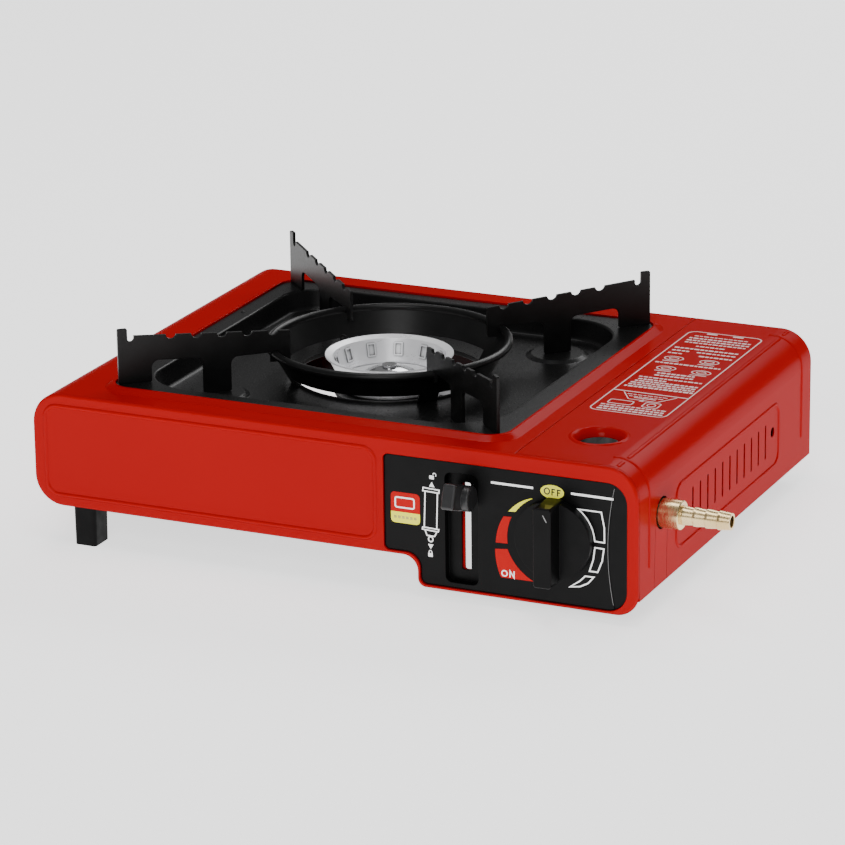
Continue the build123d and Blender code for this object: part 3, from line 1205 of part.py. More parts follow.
def lid_beads():
    """Long beads on the lid's rounded corner, beads across it, and the rectangle round the vents."""
    depth = corner_bead_depth()
    bend = CORNER_R - depth
    turn = math.asin((CORNER_R - LONG_BEAD_IN) / CORNER_R)
    x = BODY_W - CORNER_R + bend * math.sin(turn)
    z = TOP_Z - CORNER_R + bend * math.cos(turn)
    gap = BEAD_BREAK
    spans = [
        (LID_BEAD_END, CROSS_BEAD_Y - gap - BEAD_R),
        (CROSS_BEAD_Y + gap, BODY_D - CROSS_BEAD_Y - gap),
        (BODY_D - CROSS_BEAD_Y + gap + BEAD_R, BODY_D - LID_BEAD_END),
    ]
    beads = [bead(Line((x, y0, z), (x, y1, z))) for y0, y1 in spans]
    side_x, top_z = BODY_W - depth, TOP_Z - depth
    for y in (CROSS_BEAD_Y, BODY_D - CROSS_BEAD_Y):
        start_x, end_z = BODY_W - CORNER_R - BEAD_R, TOP_Z - CROSS_BEAD_DROP
        points = [(start_x, y, top_z), (side_x, y, top_z), (side_x, y, end_z)]
        beads.append(bead(FilletPolyline(*points, radius=bend)))
    y0, y1 = vent_places()[0] - VENT_BEAD_SIDE, vent_places()[-1] + VENT_BEAD_SIDE - VENT_HOLE_R
    z0, z1 = vent_mid_z() - VENT_BEAD_HALF, vent_mid_z() + VENT_BEAD_HALF
    corners = [(side_x, y0, z0), (side_x, y1, z0), (side_x, y1, z1), (side_x, y0, z1)]
    beads.append(bead(FilletPolyline(*corners, radius=VENT_BEAD_R, close=True), capped=False))
    return beads


def vent_mid_z():
    return TOP_Z - VENT_MID_DROP


def cartridge_lid():
    """Lid: top, rounded corner, side wall with vents, rear wall and two hinge ears."""
    face = body_outline() + rectangle(BODY_W - LOW_RIGHT_R, BODY_W, BOX_BOTTOM_Z, BOX_BOTTOM_Z + LOW_RIGHT_R)
    region = face & rectangle(LID_X0 + SEAM / 2, BODY_W, LID_BOTTOM_Z, TOP_Z)
    lid = slab_y(region, FOLD_D + SEAM, BODY_D)
    rear = lid.faces().sort_by(Axis.Y)[-1]
    lid = fillet(rear.outer_wire().edges(), FOLD_R)
    for ridge in lid_beads():
        lid = lid + ridge
    hollow = grown(face, -SHEET) & rectangle(LID_X0 - LID_W, BODY_W, 0, TOP_Z)
    lid = lid - slab_y(hollow, 0, BODY_D - SHEET)
    finger_x = (LID_X0 + BODY_W) / 2 - FINGER_LEFT
    lid = lid - rod_z(finger_x, FINGER_Y, FINGER_RING_R + SHEET / 2, TOP_Z - FINGER_DIP, TOP_Z + 1)
    lid = lid + finger_ring()
    wall_x0, wall_x1 = BODY_W - 3 * SHEET, BODY_W + BEAD_R
    for y in vent_places():
        vent = rounded(y - VENT_W / 2, y + VENT_W / 2, vent_mid_z() - VENT_H / 2, vent_mid_z() + VENT_H / 2,
                       VENT_W * 0.49)
        lid = lid - slab_x(vent, wall_x0, wall_x1)
    hole_y, hole_z = vent_places()[-1] + VENT_PITCH, vent_mid_z() + VENT_HOLE_UP
    lid = lid - rod_x(hole_y, hole_z, VENT_HOLE_R, wall_x0, wall_x1)
    lid = lid - slab_x(tongue_face(SEAM, 0), wall_x0, wall_x1)
    for x in lid_ear_places():
        lid = lid + lid_ear(x)
    return lid


def lid_hinge_pins():
    """Two headed pins, each fixed in a cradle ear, on which the lid's ears turn."""
    left, right = cradle_ear_places()
    lid_left, lid_right = lid_ear_places()
    pins = []
    for ear_x, inner_sign, lid_x in ((left, 1, lid_left), (right, -1, lid_right)):
        seat_x = ear_x + EAR_T if inner_sign > 0 else ear_x
        far_x = lid_x if inner_sign > 0 else lid_x + EAR_T
        end_x = far_x - inner_sign * PIN_HEAD_GAP
        head = sorted((seat_x, seat_x + inner_sign * PIN_HEAD_T))
        cap = sorted((end_x, end_x - inner_sign * PIN_CAP_T))
        shaft = sorted((seat_x, end_x))
        pin = rod_x(HINGE_Y, HINGE_Z, HINGE_PIN_R, shaft[0], shaft[1])
        pin = pin + rod_x(HINGE_Y, HINGE_Z, HINGE_PIN_R * 2, head[0], head[1])
        pins.append(pin + rod_x(HINGE_Y, HINGE_Z, HINGE_PIN_R * 1.6, cap[0], cap[1]))
    return pins


# ---- tray ----
def pan_face():
    x0, x1 = OPEN_X0 + PAN_LEFT_IN, OPEN_X1 - PAN_RIGHT_IN
    y0, y1 = OPEN_Y0 + PAN_FRONT_IN, OPEN_Y1 - PAN_BACK_IN
    return outline([
        (x0, y0, PAN_R_FRONT_LEFT), (x1, y0, PAN_R_RIGHT), (x1, y1, PAN_R_RIGHT), (x0, y1, PAN_R_LEFT)])


def arm_ends():
    """Outer ends of the four arms, on the diagonals of the tray."""
    half_x = (OPEN_X1 - OPEN_X0) / 2 - ARM_INSET
    half_y = (OPEN_Y1 - OPEN_Y0) / 2 - ARM_INSET
    return {
        "front_left": (HUB_X - half_x, HUB_Y - half_y),
        "front_right": (HUB_X + half_x, HUB_Y - half_y),
        "rear_left": (HUB_X - half_x, HUB_Y + half_y),
        "rear_right": (HUB_X + half_x, HUB_Y + half_y),
    }


def arm_direction(end):
    length = math.hypot(HUB_X - end[0], HUB_Y - end[1])
    return (HUB_X - end[0]) / length, (HUB_Y - end[1]) / length


def drip_tray():
    """Enamelled tray: flat rim, sloping walls, flat floor with pads and a lipped centre hole."""
    rim = slab_z(grown(opening_face(), -TRAY_GAP), TRAY_RIM_Z - TRAY_T, TRAY_RIM_Z)
    pan = pan_face()
    lower = TRAY_RIM_Z - TRAY_T
    outer = extrude(Plane.XY.offset(lower) * grown(pan, TRAY_T), amount=-(TRAY_DEPTH), taper=PAN_TAPER)
    inner = extrude(Plane.XY.offset(TRAY_RIM_Z) * pan, amount=-TRAY_DEPTH, taper=PAN_TAPER)
    inner = fillet(inner.faces().sort_by(Axis.Z)[0].edges(), PAN_FLOOR_R)
    tray = rim + outer - inner
    brim = tray.faces().sort_by(Axis.Z)[-1].inner_wires()[0].edges()
    tray = fillet(brim, PAN_BRIM_R)
    lip = rod_z(HUB_X, HUB_Y, TRAY_HOLE_R + TRAY_T, TRAY_FLOOR_Z - TRAY_T / 2, TRAY_FLOOR_Z + TRAY_LIP_H)
    lip = fillet(lip.edges().filter_by(GeomType.CIRCLE).sort_by(Axis.Z)[-1], TRAY_T * 0.9)
    tray = tray + lip - rod_z(HUB_X, HUB_Y, TRAY_HOLE_R, lower - 2 * TRAY_DEPTH, TRAY_RIM_Z)
    middle = MID_LEG_AT + MID_LEG_W / 2
    for end in arm_ends().values():
        ux, uy = arm_direction(end)
        pad = Pos(end[0] + ux * middle, end[1] + uy * middle, TRAY_FLOOR_Z + PAD_H / 2) * Cone(
            PAD_R, PAD_R - 2 * PAD_H, PAD_H)
        tray = tray + pad
    rivet = Pos(OPEN_X0 + RIVET_IN, HUB_Y + RIVET_BACK, TRAY_RIM_Z - RIVET_R * 0.6) * Sphere(RIVET_R)
    return tray + (rivet - block(0, BODY_W, 0, BODY_D, 0, lower))


# ---- pan support ----
def ring_wall_r(z):
    """Inner radius of the ring's conical wall at height z."""
    top_r = RING_R - RING_ROLL_R - RING_T
    slope = (top_r - RING_FOOT_R) / (RING_H - RING_ROLL_R)
    return top_r - slope * (RING_TOP_Z - RING_ROLL_R - z)


def ring_band(z0, z1):
    """Face of the conical wall between two heights."""
    low_r, high_r = ring_wall_r(z0), ring_wall_r(z1)
    inner, outer = [(low_r, z0), (high_r, z1)], [(high_r + RING_T, z1), (low_r + RING_T, z0)]
    return make_face(Polyline(*inner, *outer, close=True))


def support_ring():
    """Ring with a rolled rim, a wall that tapers inwards, and a leg under each arm down to the tray."""
    low = RING_TOP_Z - RING_H
    roll = Pos(RING_R - RING_ROLL_R, RING_TOP_Z - RING_ROLL_R) * Circle(RING_ROLL_R)
    ring = ring_of(roll + ring_band(low, RING_TOP_Z - RING_ROLL_R))
    foot_z = TRAY_FLOOR_Z + SUPPORT_SEAT
    skirt = ring_of(ring_band(foot_z, low))
    for end in arm_ends().values():
        ux, uy = arm_direction(end)
        angle = math.degrees(math.atan2(-uy, -ux))
        strip = block(0, RING_R, -RING_LEG_W / 2, RING_LEG_W / 2, 0, TOP_Z)
        strip = Pos(HUB_X, HUB_Y, 0) * Rot(0, 0, angle) * strip
        ring = ring + (skirt & strip)
    return ring


def tooth_z(along):
    return TOP_Z + TEETH_UP - TEETH_FALL * (along - U_NOTCH_AT)


def arm_face():
    """Arm in its own plane: distance in from the outer end, and height."""
    foot_z = TRAY_RIM_Z + SUPPORT_SEAT
    pad_z = TRAY_FLOOR_Z + PAD_H + SUPPORT_SEAT
    mid_end = MID_LEG_AT + MID_LEG_W
    window_fall = TEETH_FALL * (MID_LEG_AT - FOOT_LEG_W)
    hook = ARM_LEN - INNER_HOOK_W
    face = outline([
        (0, foot_z, ARM_SOFT),
        (0, TOP_Z + PRONG_UP, ARM_SOFT),
        (PRONG_W, TOP_Z + PRONG_UP, ARM_SOFT),
        (PRONG_W, tooth_z(PRONG_W), 0),
        (ARM_LEN, tooth_z(ARM_LEN), ARM_SOFT),
        (ARM_LEN, RING_TOP_Z - INNER_DROP, ARM_SOFT),
        (hook, RING_TOP_Z - INNER_DROP, 0),
        (hook, TOP_Z + INNER_WINDOW_UP, 0),
        (mid_end, TOP_Z + INNER_WINDOW_UP, WINDOW_R),
        (mid_end, pad_z, ARM_SOFT),
        (MID_LEG_AT, pad_z, ARM_SOFT),
        (MID_LEG_AT, TOP_Z + WINDOW_UP - window_fall, WINDOW_R),
        (FOOT_LEG_W, TOP_Z + WINDOW_UP, WINDOW_R),
        (FOOT_LEG_W, foot_z, ARM_SOFT),
    ])
    for index in range(NOTCH_COUNT):
        along = NOTCH_FIRST + index * NOTCH_PITCH
        face = face - Pos(along, tooth_z(along) + NOTCH_R - NOTCH_DEPTH) * Circle(NOTCH_R)
    face = face - Pos(U_NOTCH_AT, TOP_Z + U_NOTCH_UP) * Circle(U_NOTCH_R)
    half = U_NOTCH_R
    high = TOP_Z + TEETH_UP + U_NOTCH_R
    return face - rectangle(U_NOTCH_AT - half, U_NOTCH_AT + half, TOP_Z + U_NOTCH_UP, high)


def support_arm(end, ring):
    ux, uy = arm_direction(end)
    plane = Plane(origin=(end[0], end[1], 0), x_dir=(ux, uy, 0), z_dir=(uy, -ux, 0))
    arm = extrude(plane * arm_face(), amount=ARM_T / 2, both=True)
    return arm - ring


# ---- feet ----
def tall_foot(y0):
    """Moulded foot under the burner side, narrower at the floor."""
    top = rounded(FOOT_X, FOOT_X + FOOT_W, y0, y0 + FOOT_D, FOOT_EDGE_R)
    return extrude(Plane.XY.offset(SIDE_BOTTOM_Z) * top, amount=-SIDE_BOTTOM_Z, taper=FOOT_TAPER)


def short_foot(y):
    x = BODY_W - PAD_FOOT_X_IN
    foot = rod_z(x, y, PAD_FOOT_R, 0, BOX_BOTTOM_Z)
    return chamfer(foot.edges().filter_by(GeomType.CIRCLE).sort_by(Axis.Z)[0], FOOT_TAPER)


def main():
    os.makedirs("parts", exist_ok=True)
    single = [
        body_shell, front_panel, rear_panel, heat_shield, cartridge_cradle, control_panel, lever_bracket,
        inlet_bracket, hose_nozzle, nozzle_locknut, inlet_pipe, gas_valve, cartridge_connector,
        connector_seal, gas_pipe, gas_jet, mixing_tube, burner_bowl, burner_head, burner_bracket,
        electrode_insulator, igniter_electrode, igniter_body, igniter_plunger, igniter_lead, gas_knob,
        valve_spindle, lock_lever, lever_cap, lever_shaft, lever_crank, cartridge_pusher, cartridge_lid,
        drip_tray,
    ]
    for piece in single:
        save(piece.__name__, piece())
    for group in (panel_nuts, pusher_guides, lid_hinge_pins):
        save(group.__name__, Compound(children=[Solid(item.solid().wrapped) for item in group()]))
    ring = support_ring()
    save("support_ring", ring)
    for side, end in arm_ends().items():
        save("support_arm_" + side, support_arm(end, ring))
    save("foot_front_left", tall_foot(FOOT_Y))
    save("foot_rear_left", tall_foot(BODY_D - FOOT_Y - FOOT_D))
    save("foot_front_right", short_foot(PAD_FOOT_Y))
    save("foot_rear_right", short_foot(BODY_D - PAD_FOOT_Y))


if __name__ == "__main__":
    main()
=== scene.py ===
"""Looks of the portable cassette stove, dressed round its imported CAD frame."""
import json
import math

import bmesh
import bpy
from mathutils import Matrix, Vector


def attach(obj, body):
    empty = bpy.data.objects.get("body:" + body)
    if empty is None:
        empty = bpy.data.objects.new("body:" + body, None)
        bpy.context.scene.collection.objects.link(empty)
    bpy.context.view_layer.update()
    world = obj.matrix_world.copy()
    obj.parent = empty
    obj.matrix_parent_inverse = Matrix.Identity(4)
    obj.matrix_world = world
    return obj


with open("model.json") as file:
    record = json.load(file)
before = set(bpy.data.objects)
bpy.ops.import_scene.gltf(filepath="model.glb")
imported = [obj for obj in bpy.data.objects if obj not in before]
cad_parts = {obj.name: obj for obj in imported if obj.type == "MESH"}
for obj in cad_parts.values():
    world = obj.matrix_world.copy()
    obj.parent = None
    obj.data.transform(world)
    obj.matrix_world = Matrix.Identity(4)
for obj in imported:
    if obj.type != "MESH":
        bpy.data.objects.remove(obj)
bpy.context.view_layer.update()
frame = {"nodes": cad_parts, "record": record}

MM = 0.001
SHIFT = Vector((188.5, 116.9645, 0.0))     # body frame (mm, from the front left corner) to row frame

# ---- places on the stove: body frame, millimetres ----
PANEL_Y = 0.9          # face of the control panel
LID_Z = 83.0           # top of the lid
GRIP_Y = -16.8         # front of the knob's grip
GRIP_TOP_Z = 62.8      # upper end of the grip
KNOB_X, KNOB_Z = 295.5, 41.8
CREASE_X, CREASE_Z, CREASE_R = 470.1, 40.10, 146.2    # centre and radius of the panel's bowed crease

# ---- printed marks: millimetres ----
PRINT_T = 0.06         # thickness of a mark
OVER_T = 2 * PRINT_T   # thickness of a mark printed over another
THIN_W = 0.62          # width of the thin lines on panel and label
BOLD_W = 0.9           # width of the label's bold lines
MITRE_LIMIT = 0.35     # least cosine used where a line is widened at a corner

# control panel: points are (across, up); a spiral edge is (radius, degrees) about the knob at either end
DIAL_BARS = (((260.8, 66.5), (283.6, 66.5)), ((304.0, 66.3), (326.6, 66.2)))
DIAL_BAR_W = 1.15
ZONE_W = 0.7
ZONE_EDGE = (20.9, 53.4, 21.2, 3.0)
UPPER_ZONE = [(321.9, 42.8), (321.8, 50.6), (320.2, 58.6)]
OTHER_ZONES = [
    [(316.8, 39.6), (321.6, 39.5), (320.7, 33.1), (318.3, 26.8), (313.9, 26.8), (315.9, 33.0)],
    [(311.6, 23.8), (316.2, 23.9), (313.1, 20.2), (308.8, 17.9), (303.3, 17.0), (308.6, 20.7)],
]
LEVER_ARROWS = [
    [(226.8, 59.8), (229.8, 59.7), (228.3, 62.4)],
    [(225.9, 29.1), (228.9, 29.1), (227.4, 26.6)],
]
CAN_BOTTOM = ((223.5, 58.9), (232.4, 58.5), (232.2, 56.9), (223.3, 57.2))
CAN_SIDES = (((224.6, 57.0), (223.9, 37.7)), ((231.4, 56.7), (230.8, 37.6)))
CAN_COLLAR = ((223.1, 37.8), (231.9, 37.5), (231.6, 36.2), (222.9, 36.6))
CAN_NECK = ((224.3, 36.4), (225.4, 33.6), (229.6, 33.5), (230.9, 36.2))
CAN_VALVE = (227.4, 31.8, 1.25, 1.35)
OPEN_LOCK = (228.3, 63.9)
SHUT_LOCK = (227.2, 22.4)
LOCK_HALF, LOCK_HIGH, LOCK_CORNER = 1.25, 1.9, 0.25
BOW_R, BOW_RISE, BOW_FOOT, BOW_SWING = 0.8, 2.5, 1.7, 1.5
BOW_W, BOW_STEPS = 0.42, 8
OFF_PLATE = (293.9, 65.75, 6.35, 3.6)
YELLOW_WEDGE = ((27.4, 157.3, 22.9, 123.3), (22.5, 123.3, 24.0, 153.0))
RED_UPPER = ((33.0, 191.9, 29.0, 164.8), (24.9, 161.5, 26.7, 194.3))
RED_FAN = ((34.2, 197.4, 38.7, 220.2), (27.4, 244.9, 27.6, 200.1))
ON_O = (267.9, 19.2, 1.45, 1.45)
ON_N = (270.6, 273.4, 17.45, 20.95)
ON_W = 0.6
OFF_O = (291.1, 65.9, 1.4, 1.55)
OFF_FS = ((293.5, 295.5, 63.95, 67.45), (296.5, 298.5, 63.85, 67.35))
OFF_W = 0.66
F_ARM = 0.52           # height of an F's lower arm, as a share of the letter
# painted highlight line along the crease: foot height, step and count of its points, inset and width
CREASE_FOOT_Z, CREASE_STEP, CREASE_POINTS = 10.5, 2.55, 25
CREASE_INSET, CREASE_W = 0.2, 0.22

# sticker beside the lever: left, right, foot, top
STICKER = (205.5, 221.6, 38.3, 54.7)
STICKER_CORNER = 2.2
STICKER_SPLIT_Z = 44.2
STICKER_FRAME = (208.0, 218.4, 46.6, 51.9)
FRAME_CORNER, FRAME_W = 1.0, 0.75
BAR_LEFTS = (207.2, 209.4, 211.6, 213.8, 216.0, 218.2)
BAR_WIDE, BAR_FOOT, BAR_TOP = 1.5, 40.7, 42.1

# lid label: points are (across, back)
LABEL = (279.4, 321.3, 82.6, 229.2)
LABEL_CORNER = 4.5
LABEL_SPLIT = ((279.4, 117.6), (321.3, 117.0))
LABEL_ROWS = (         # middle, left, right, height of each row of dashes
    (221.8, 284.5, 315.5, 1.0), (217.6, 283.0, 318.0, 1.6), (213.6, 283.0, 318.5, 1.6),
    (209.6, 283.5, 318.0, 1.4), (204.2, 292.0, 309.0, 1.4), (198.6, 282.0, 318.0, 1.7),
    (193.6, 282.5, 292.0, 1.7), (193.6, 296.5, 318.5, 1.5), (188.4, 282.0, 291.5, 1.5),
    (187.6, 300.0, 318.5, 1.7), (170.4, 282.0, 318.5, 1.7), (152.6, 290.0, 311.5, 1.8),
    (148.6, 290.0, 311.5, 1.6), (143.4, 283.5, 320.0, 1.4), (139.6, 284.5, 300.0, 1.6),
    (136.2, 284.0, 319.0, 1.6), (132.9, 283.0, 319.5, 1.6), (129.6, 283.0, 319.5, 1.6),
    (126.2, 282.0, 320.0, 2.0), (113.4, 289.0, 312.0, 0.7), (110.4, 291.0, 310.0, 0.7),
    (92.8, 282.5, 319.0, 1.2), (89.4, 283.0, 319.0, 1.7), (85.9, 283.0, 319.0, 1.7),
)
DASHES = (2.3, 1.7, 2.9, 2.0, 1.5, 2.6, 1.9)
DASH_GAP = 0.65
ROW_LEFT_OVER = 1.0    # a row ends when less than this is left
RINGS = ((289.0, 179.4), (309.0, 179.4), (291.5, 161.6), (311.5, 160.8))
RING_OUTER, RING_OUTER_W = (5.2, 3.4), 0.6
RING_INNER, RING_INNER_W = (2.6, 1.7), 0.5
RING_BAR_HALF, RING_BAR_DROP, RING_BAR_W = 4.6, 5.2, 0.7
TROUGH = ((286.0, 116.0), (292.5, 105.5), (308.5, 105.0), (315.5, 115.6))
TROUGH_W = 0.55
BOXES = ((284.5, 297.5, 95.8, 102.0), (303.5, 312.0, 95.4, 103.2))
BOX_CORNER, BOX_W = 1.5, 0.6
TROUGH_BASE = ((294.5, 108.6), (306.5, 108.4))
BOX_RING, BOX_RING_W = (307.7, 99.3, 2.2, 2.2), 0.5
LABEL_ARROW = [(299.0, 103.5), (301.6, 103.4), (300.3, 107.4)]
TAB_LEFTS = (289.5, 304.5)
TAB_WIDE, TAB_FRONT, TAB_BACK, TAB_CORNER = 6.0, 226.4, 228.0, 0.4

# knob
KNOB_SPOT = [(294.8, -10.2), (299.4, -10.2), (299.4, -15.6), (297.0, -16.0)]
KNOB_TICK = ((296.2, 59.4), (298.2, 55.9))
KNOB_TICK_W = 0.55

# ---- floor, light and camera ----
WHITE = (1, 1, 1, 1)
FLOOR_HALF = 6.0       # metres
FLOOR_GLOW = 1.4
WORLD_GLOW = 0.25
LIGHTS = {             # place, aim and size in metres, watts
    "key": ((0.45, -2.0, 1.25), (0, 0, 0.04), (1.0, 0.9), 19),
    "top": ((-0.1, -0.1, 1.5), (0, 0, 0.05), (1.6, 0.35), 9),
    "back": ((0.2, 1.7, 1.3), (0, 0, 0.05), (1.8, 0.7), 20),
}
CAMERA_AT = (1082.96, -1870.75, 769.4)     # body frame, millimetres
CAMERA_TURNS = (24.661, 18.176, -0.718)    # yaw, pitch down and roll in degrees
LENS_MM, SENSOR_MM = 184.64, 36.0

BEVEL_SAMPLES = 4
SHADE_SAMPLES = 16


def place(x, y, z):
    """Point of the body frame in millimetres, in the row frame in metres."""
    return (Vector((x, y, z)) - SHIFT) * MM


# ---- shader helpers ----
class Shader:
    """Principled material with a few chained helpers; patterns run in object space, in metres.

    edge is the radius, in metres, to which sharp edges are softened before any bump.
    """

    def __init__(self, name, colour, roughness, metallic=0.0, edge=0.0, **sockets):
        self.material = bpy.data.materials.new(name)
        self.material.use_nodes = True
        self.tree = self.material.node_tree
        self.bsdf = self.tree.nodes["Principled BSDF"]
        self.coords = self.tree.nodes.new("ShaderNodeTexCoord").outputs["Object"]
        self.height = None
        if edge:
            soft = self.tree.nodes.new("ShaderNodeBevel")
            soft.samples = BEVEL_SAMPLES
            soft.inputs["Radius"].default_value = edge
            self.height = soft.outputs["Normal"]
        self.bsdf.inputs["Base Color"].default_value = (*colour, 1)
        self.bsdf.inputs["Roughness"].default_value = roughness
        self.bsdf.inputs["Metallic"].default_value = metallic
        for socket, value in sockets.items():
            self.bsdf.inputs[socket.replace("_", " ")].default_value = value

    def link(self, output, socket):
        self.tree.links.new(output, socket)

    def stretched(self, scale):
        node = self.tree.nodes.new("ShaderNodeMapping")
        node.inputs["Scale"].default_value = scale
        self.link(self.coords, node.inputs["Vector"])
        return node.outputs["Vector"]

    def noise(self, scale, detail, stretch=(1, 1, 1)):
        node = self.tree.nodes.new("ShaderNodeTexNoise")
        node.inputs["Scale"].default_value = scale
        node.inputs["Detail"].default_value = detail
        self.link(self.stretched(stretch), node.inputs["Vector"])
        return node.outputs["Fac"]

    def ramp(self, factor, low, high, low_at=0.3, high_at=0.7):
        node = self.tree.nodes.new("ShaderNodeValToRGB")
        for stop, at, value in zip(node.color_ramp.elements, (low_at, high_at), (low, high)):
            stop.position = at
            stop.color = (*value, 1) if isinstance(value, tuple) else (value, value, value, 1)
        self.link(factor, node.inputs["Fac"])
        return node.outputs["Color"]

    def tint(self, factor, low, high):
        self.link(self.ramp(factor, low, high), self.bsdf.inputs["Base Color"])
        return self

    def gloss(self, factor, low, high):
        self.link(self.ramp(factor, low, high), self.bsdf.inputs["Roughness"])
        return self

    def shade(self, reach, dark, low_at=0.35, high_at=0.85):
        """Painted shade: darken the colour in narrow places, where little sky reaches within the given
        metres.
        """
        node = self.tree.nodes.new("ShaderNodeAmbientOcclusion")
        node.samples = SHADE_SAMPLES
        node.inputs["Distance"].default_value = reach
        colour = self.bsdf.inputs["Base Color"]
        mixed = self.tree.nodes.new("ShaderNodeVectorMath")
        mixed.operation = "MULTIPLY"
        self.link(colour.links[0].from_socket, mixed.inputs[0])
        self.link(self.ramp(node.outputs["AO"], dark, 1.0, low_at, high_at), mixed.inputs[1])
        self.link(mixed.outputs["Vector"], colour)
        return self

    def bump(self, factor, distance, strength):
        node = self.tree.nodes.new("ShaderNodeBump")
        node.inputs["Strength"].default_value = strength
        node.inputs["Distance"].default_value = distance
        self.link(factor, node.inputs["Height"])
        if self.height is not None:
            self.link(self.height, node.inputs["Normal"])
        self.height = node.outputs["Normal"]
        self.link(self.height, self.bsdf.inputs["Normal"])
        self.link(self.height, self.bsdf.inputs["Coat Normal"])
        return self


def red_enamel():
    """Stoved red paint: slight orange peel, a thin clear coat and painted shade that darkens the inside.
    """
    paint = Shader("red_enamel", (0.39, 0.0003, 0.0014), 0.34, edge=0.0005,
                   Specular_IOR_Level=0.0, Coat_Weight=0.16, Coat_Roughness=0.25)
    paint.tint(paint.noise(scale=9, detail=3), low=(0.38, 0.0002, 0.0013), high=(0.40, 0.0004, 0.0016))
    # painted shade: the red darkens inside the casing and in narrow places
    paint.shade(reach=0.3, dark=0.02, low_at=0.07, high_at=0.3)
    paint.gloss(paint.noise(scale=38, detail=5), low=0.29, high=0.37)
    return paint.bump(paint.noise(scale=620, detail=2), distance=0.00002, strength=0.35).material


def black_enamel():
    """Vitreous enamel of the tray: soft gloss and a fine ripple."""
    glaze = Shader("black_enamel", (0.006, 0.006, 0.006), 0.24, edge=0.0006, IOR=1.22)
    glaze.tint(glaze.noise(scale=24, detail=4), low=(0.006, 0.006, 0.006), high=(0.008, 0.008, 0.008))
    glaze.gloss(glaze.noise(scale=900, detail=3), low=0.26, high=0.34)
    return glaze.bump(glaze.noise(scale=1400, detail=2), distance=0.00002, strength=0.25).material


def matt_black():
    """Heat-proof black coat of the pan support."""
    coat = Shader("matt_black", (0.005, 0.005, 0.005), 0.42, edge=0.0004, IOR=1.3)
    coat.tint(coat.noise(scale=70, detail=5), low=(0.003, 0.003, 0.003), high=(0.007, 0.007, 0.007))
    coat.gloss(coat.noise(scale=900, detail=3), low=0.28, high=0.38)
    return coat.bump(coat.noise(scale=1500, detail=3), distance=0.00003, strength=0.4).material


def black_moulding(name, low, high, roughness, ior=1.2):
    """Injection-moulded plastic with a spark-eroded grain."""
    plastic = Shader(name, (0.01, 0.01, 0.01), 0.45, edge=0.0005, IOR=ior)
    plastic.tint(plastic.noise(scale=30, detail=3), (low, low, low * 1.05), (high, high, high * 1.05))
    plastic.gloss(plastic.noise(scale=160, detail=4), *roughness)
    return plastic.bump(plastic.noise(scale=2600, detail=2), distance=0.00002, strength=0.5).material


def sheet_metal(name, low, high, stretch, roughness, metallic=1.0, crevice_shade=None):
    """Rolled or turned metal: streaks along one direction and cloudy gloss; painted shade darkens the
    insides, or only narrow crevices when crevice_shade is given.
    """
    metal = Shader(name, (high, high, high), roughness[0], metallic, edge=0.0004)
    streaks = metal.noise(scale=40, detail=5, stretch=stretch)
    metal.tint(streaks, (low, low, low * 1.02), (high, high, high * 1.02))
    metal.gloss(metal.noise(scale=90, detail=5, stretch=stretch), *roughness)
    if crevice_shade is None:
        # painted shade: the colour darkens inside enclosed spaces
        metal.shade(reach=0.3, dark=0.02, low_at=0.07, high_at=0.35)
    else:
        # painted shade: the colour darkens in narrow crevices
        metal.shade(reach=0.008, dark=crevice_shade)
    grain = metal.noise(scale=700, detail=4, stretch=stretch)
    return metal.bump(grain, distance=0.00002, strength=0.25).material


def brass(name, low, high, roughness):
    """Turned brass with tool marks round the axis."""
    metal = Shader(name, high, roughness[0], 1.0, edge=0.0003)
    metal.tint(metal.noise(scale=60, detail=5), low, high)
    metal.gloss(metal.noise(scale=200, detail=4, stretch=(6, 1, 1)), *roughness)
    tool_marks = metal.noise(scale=900, detail=3, stretch=(8, 0.6, 0.6))
    return metal.bump(tool_marks, distance=0.00002, strength=0.3).material


def plain(name, low, high, roughness, **sockets):
    """Smooth part with a little cloudiness and grain, for prints, sleeves and mouldings."""
    piece = Shader(name, high, roughness[0], **sockets)
    piece.tint(piece.noise(scale=80, detail=4), low, high)
    piece.gloss(piece.noise(scale=240, detail=3), *roughness)
    return piece.bump(piece.noise(scale=1600, detail=2), distance=0.00001, strength=0.3).material


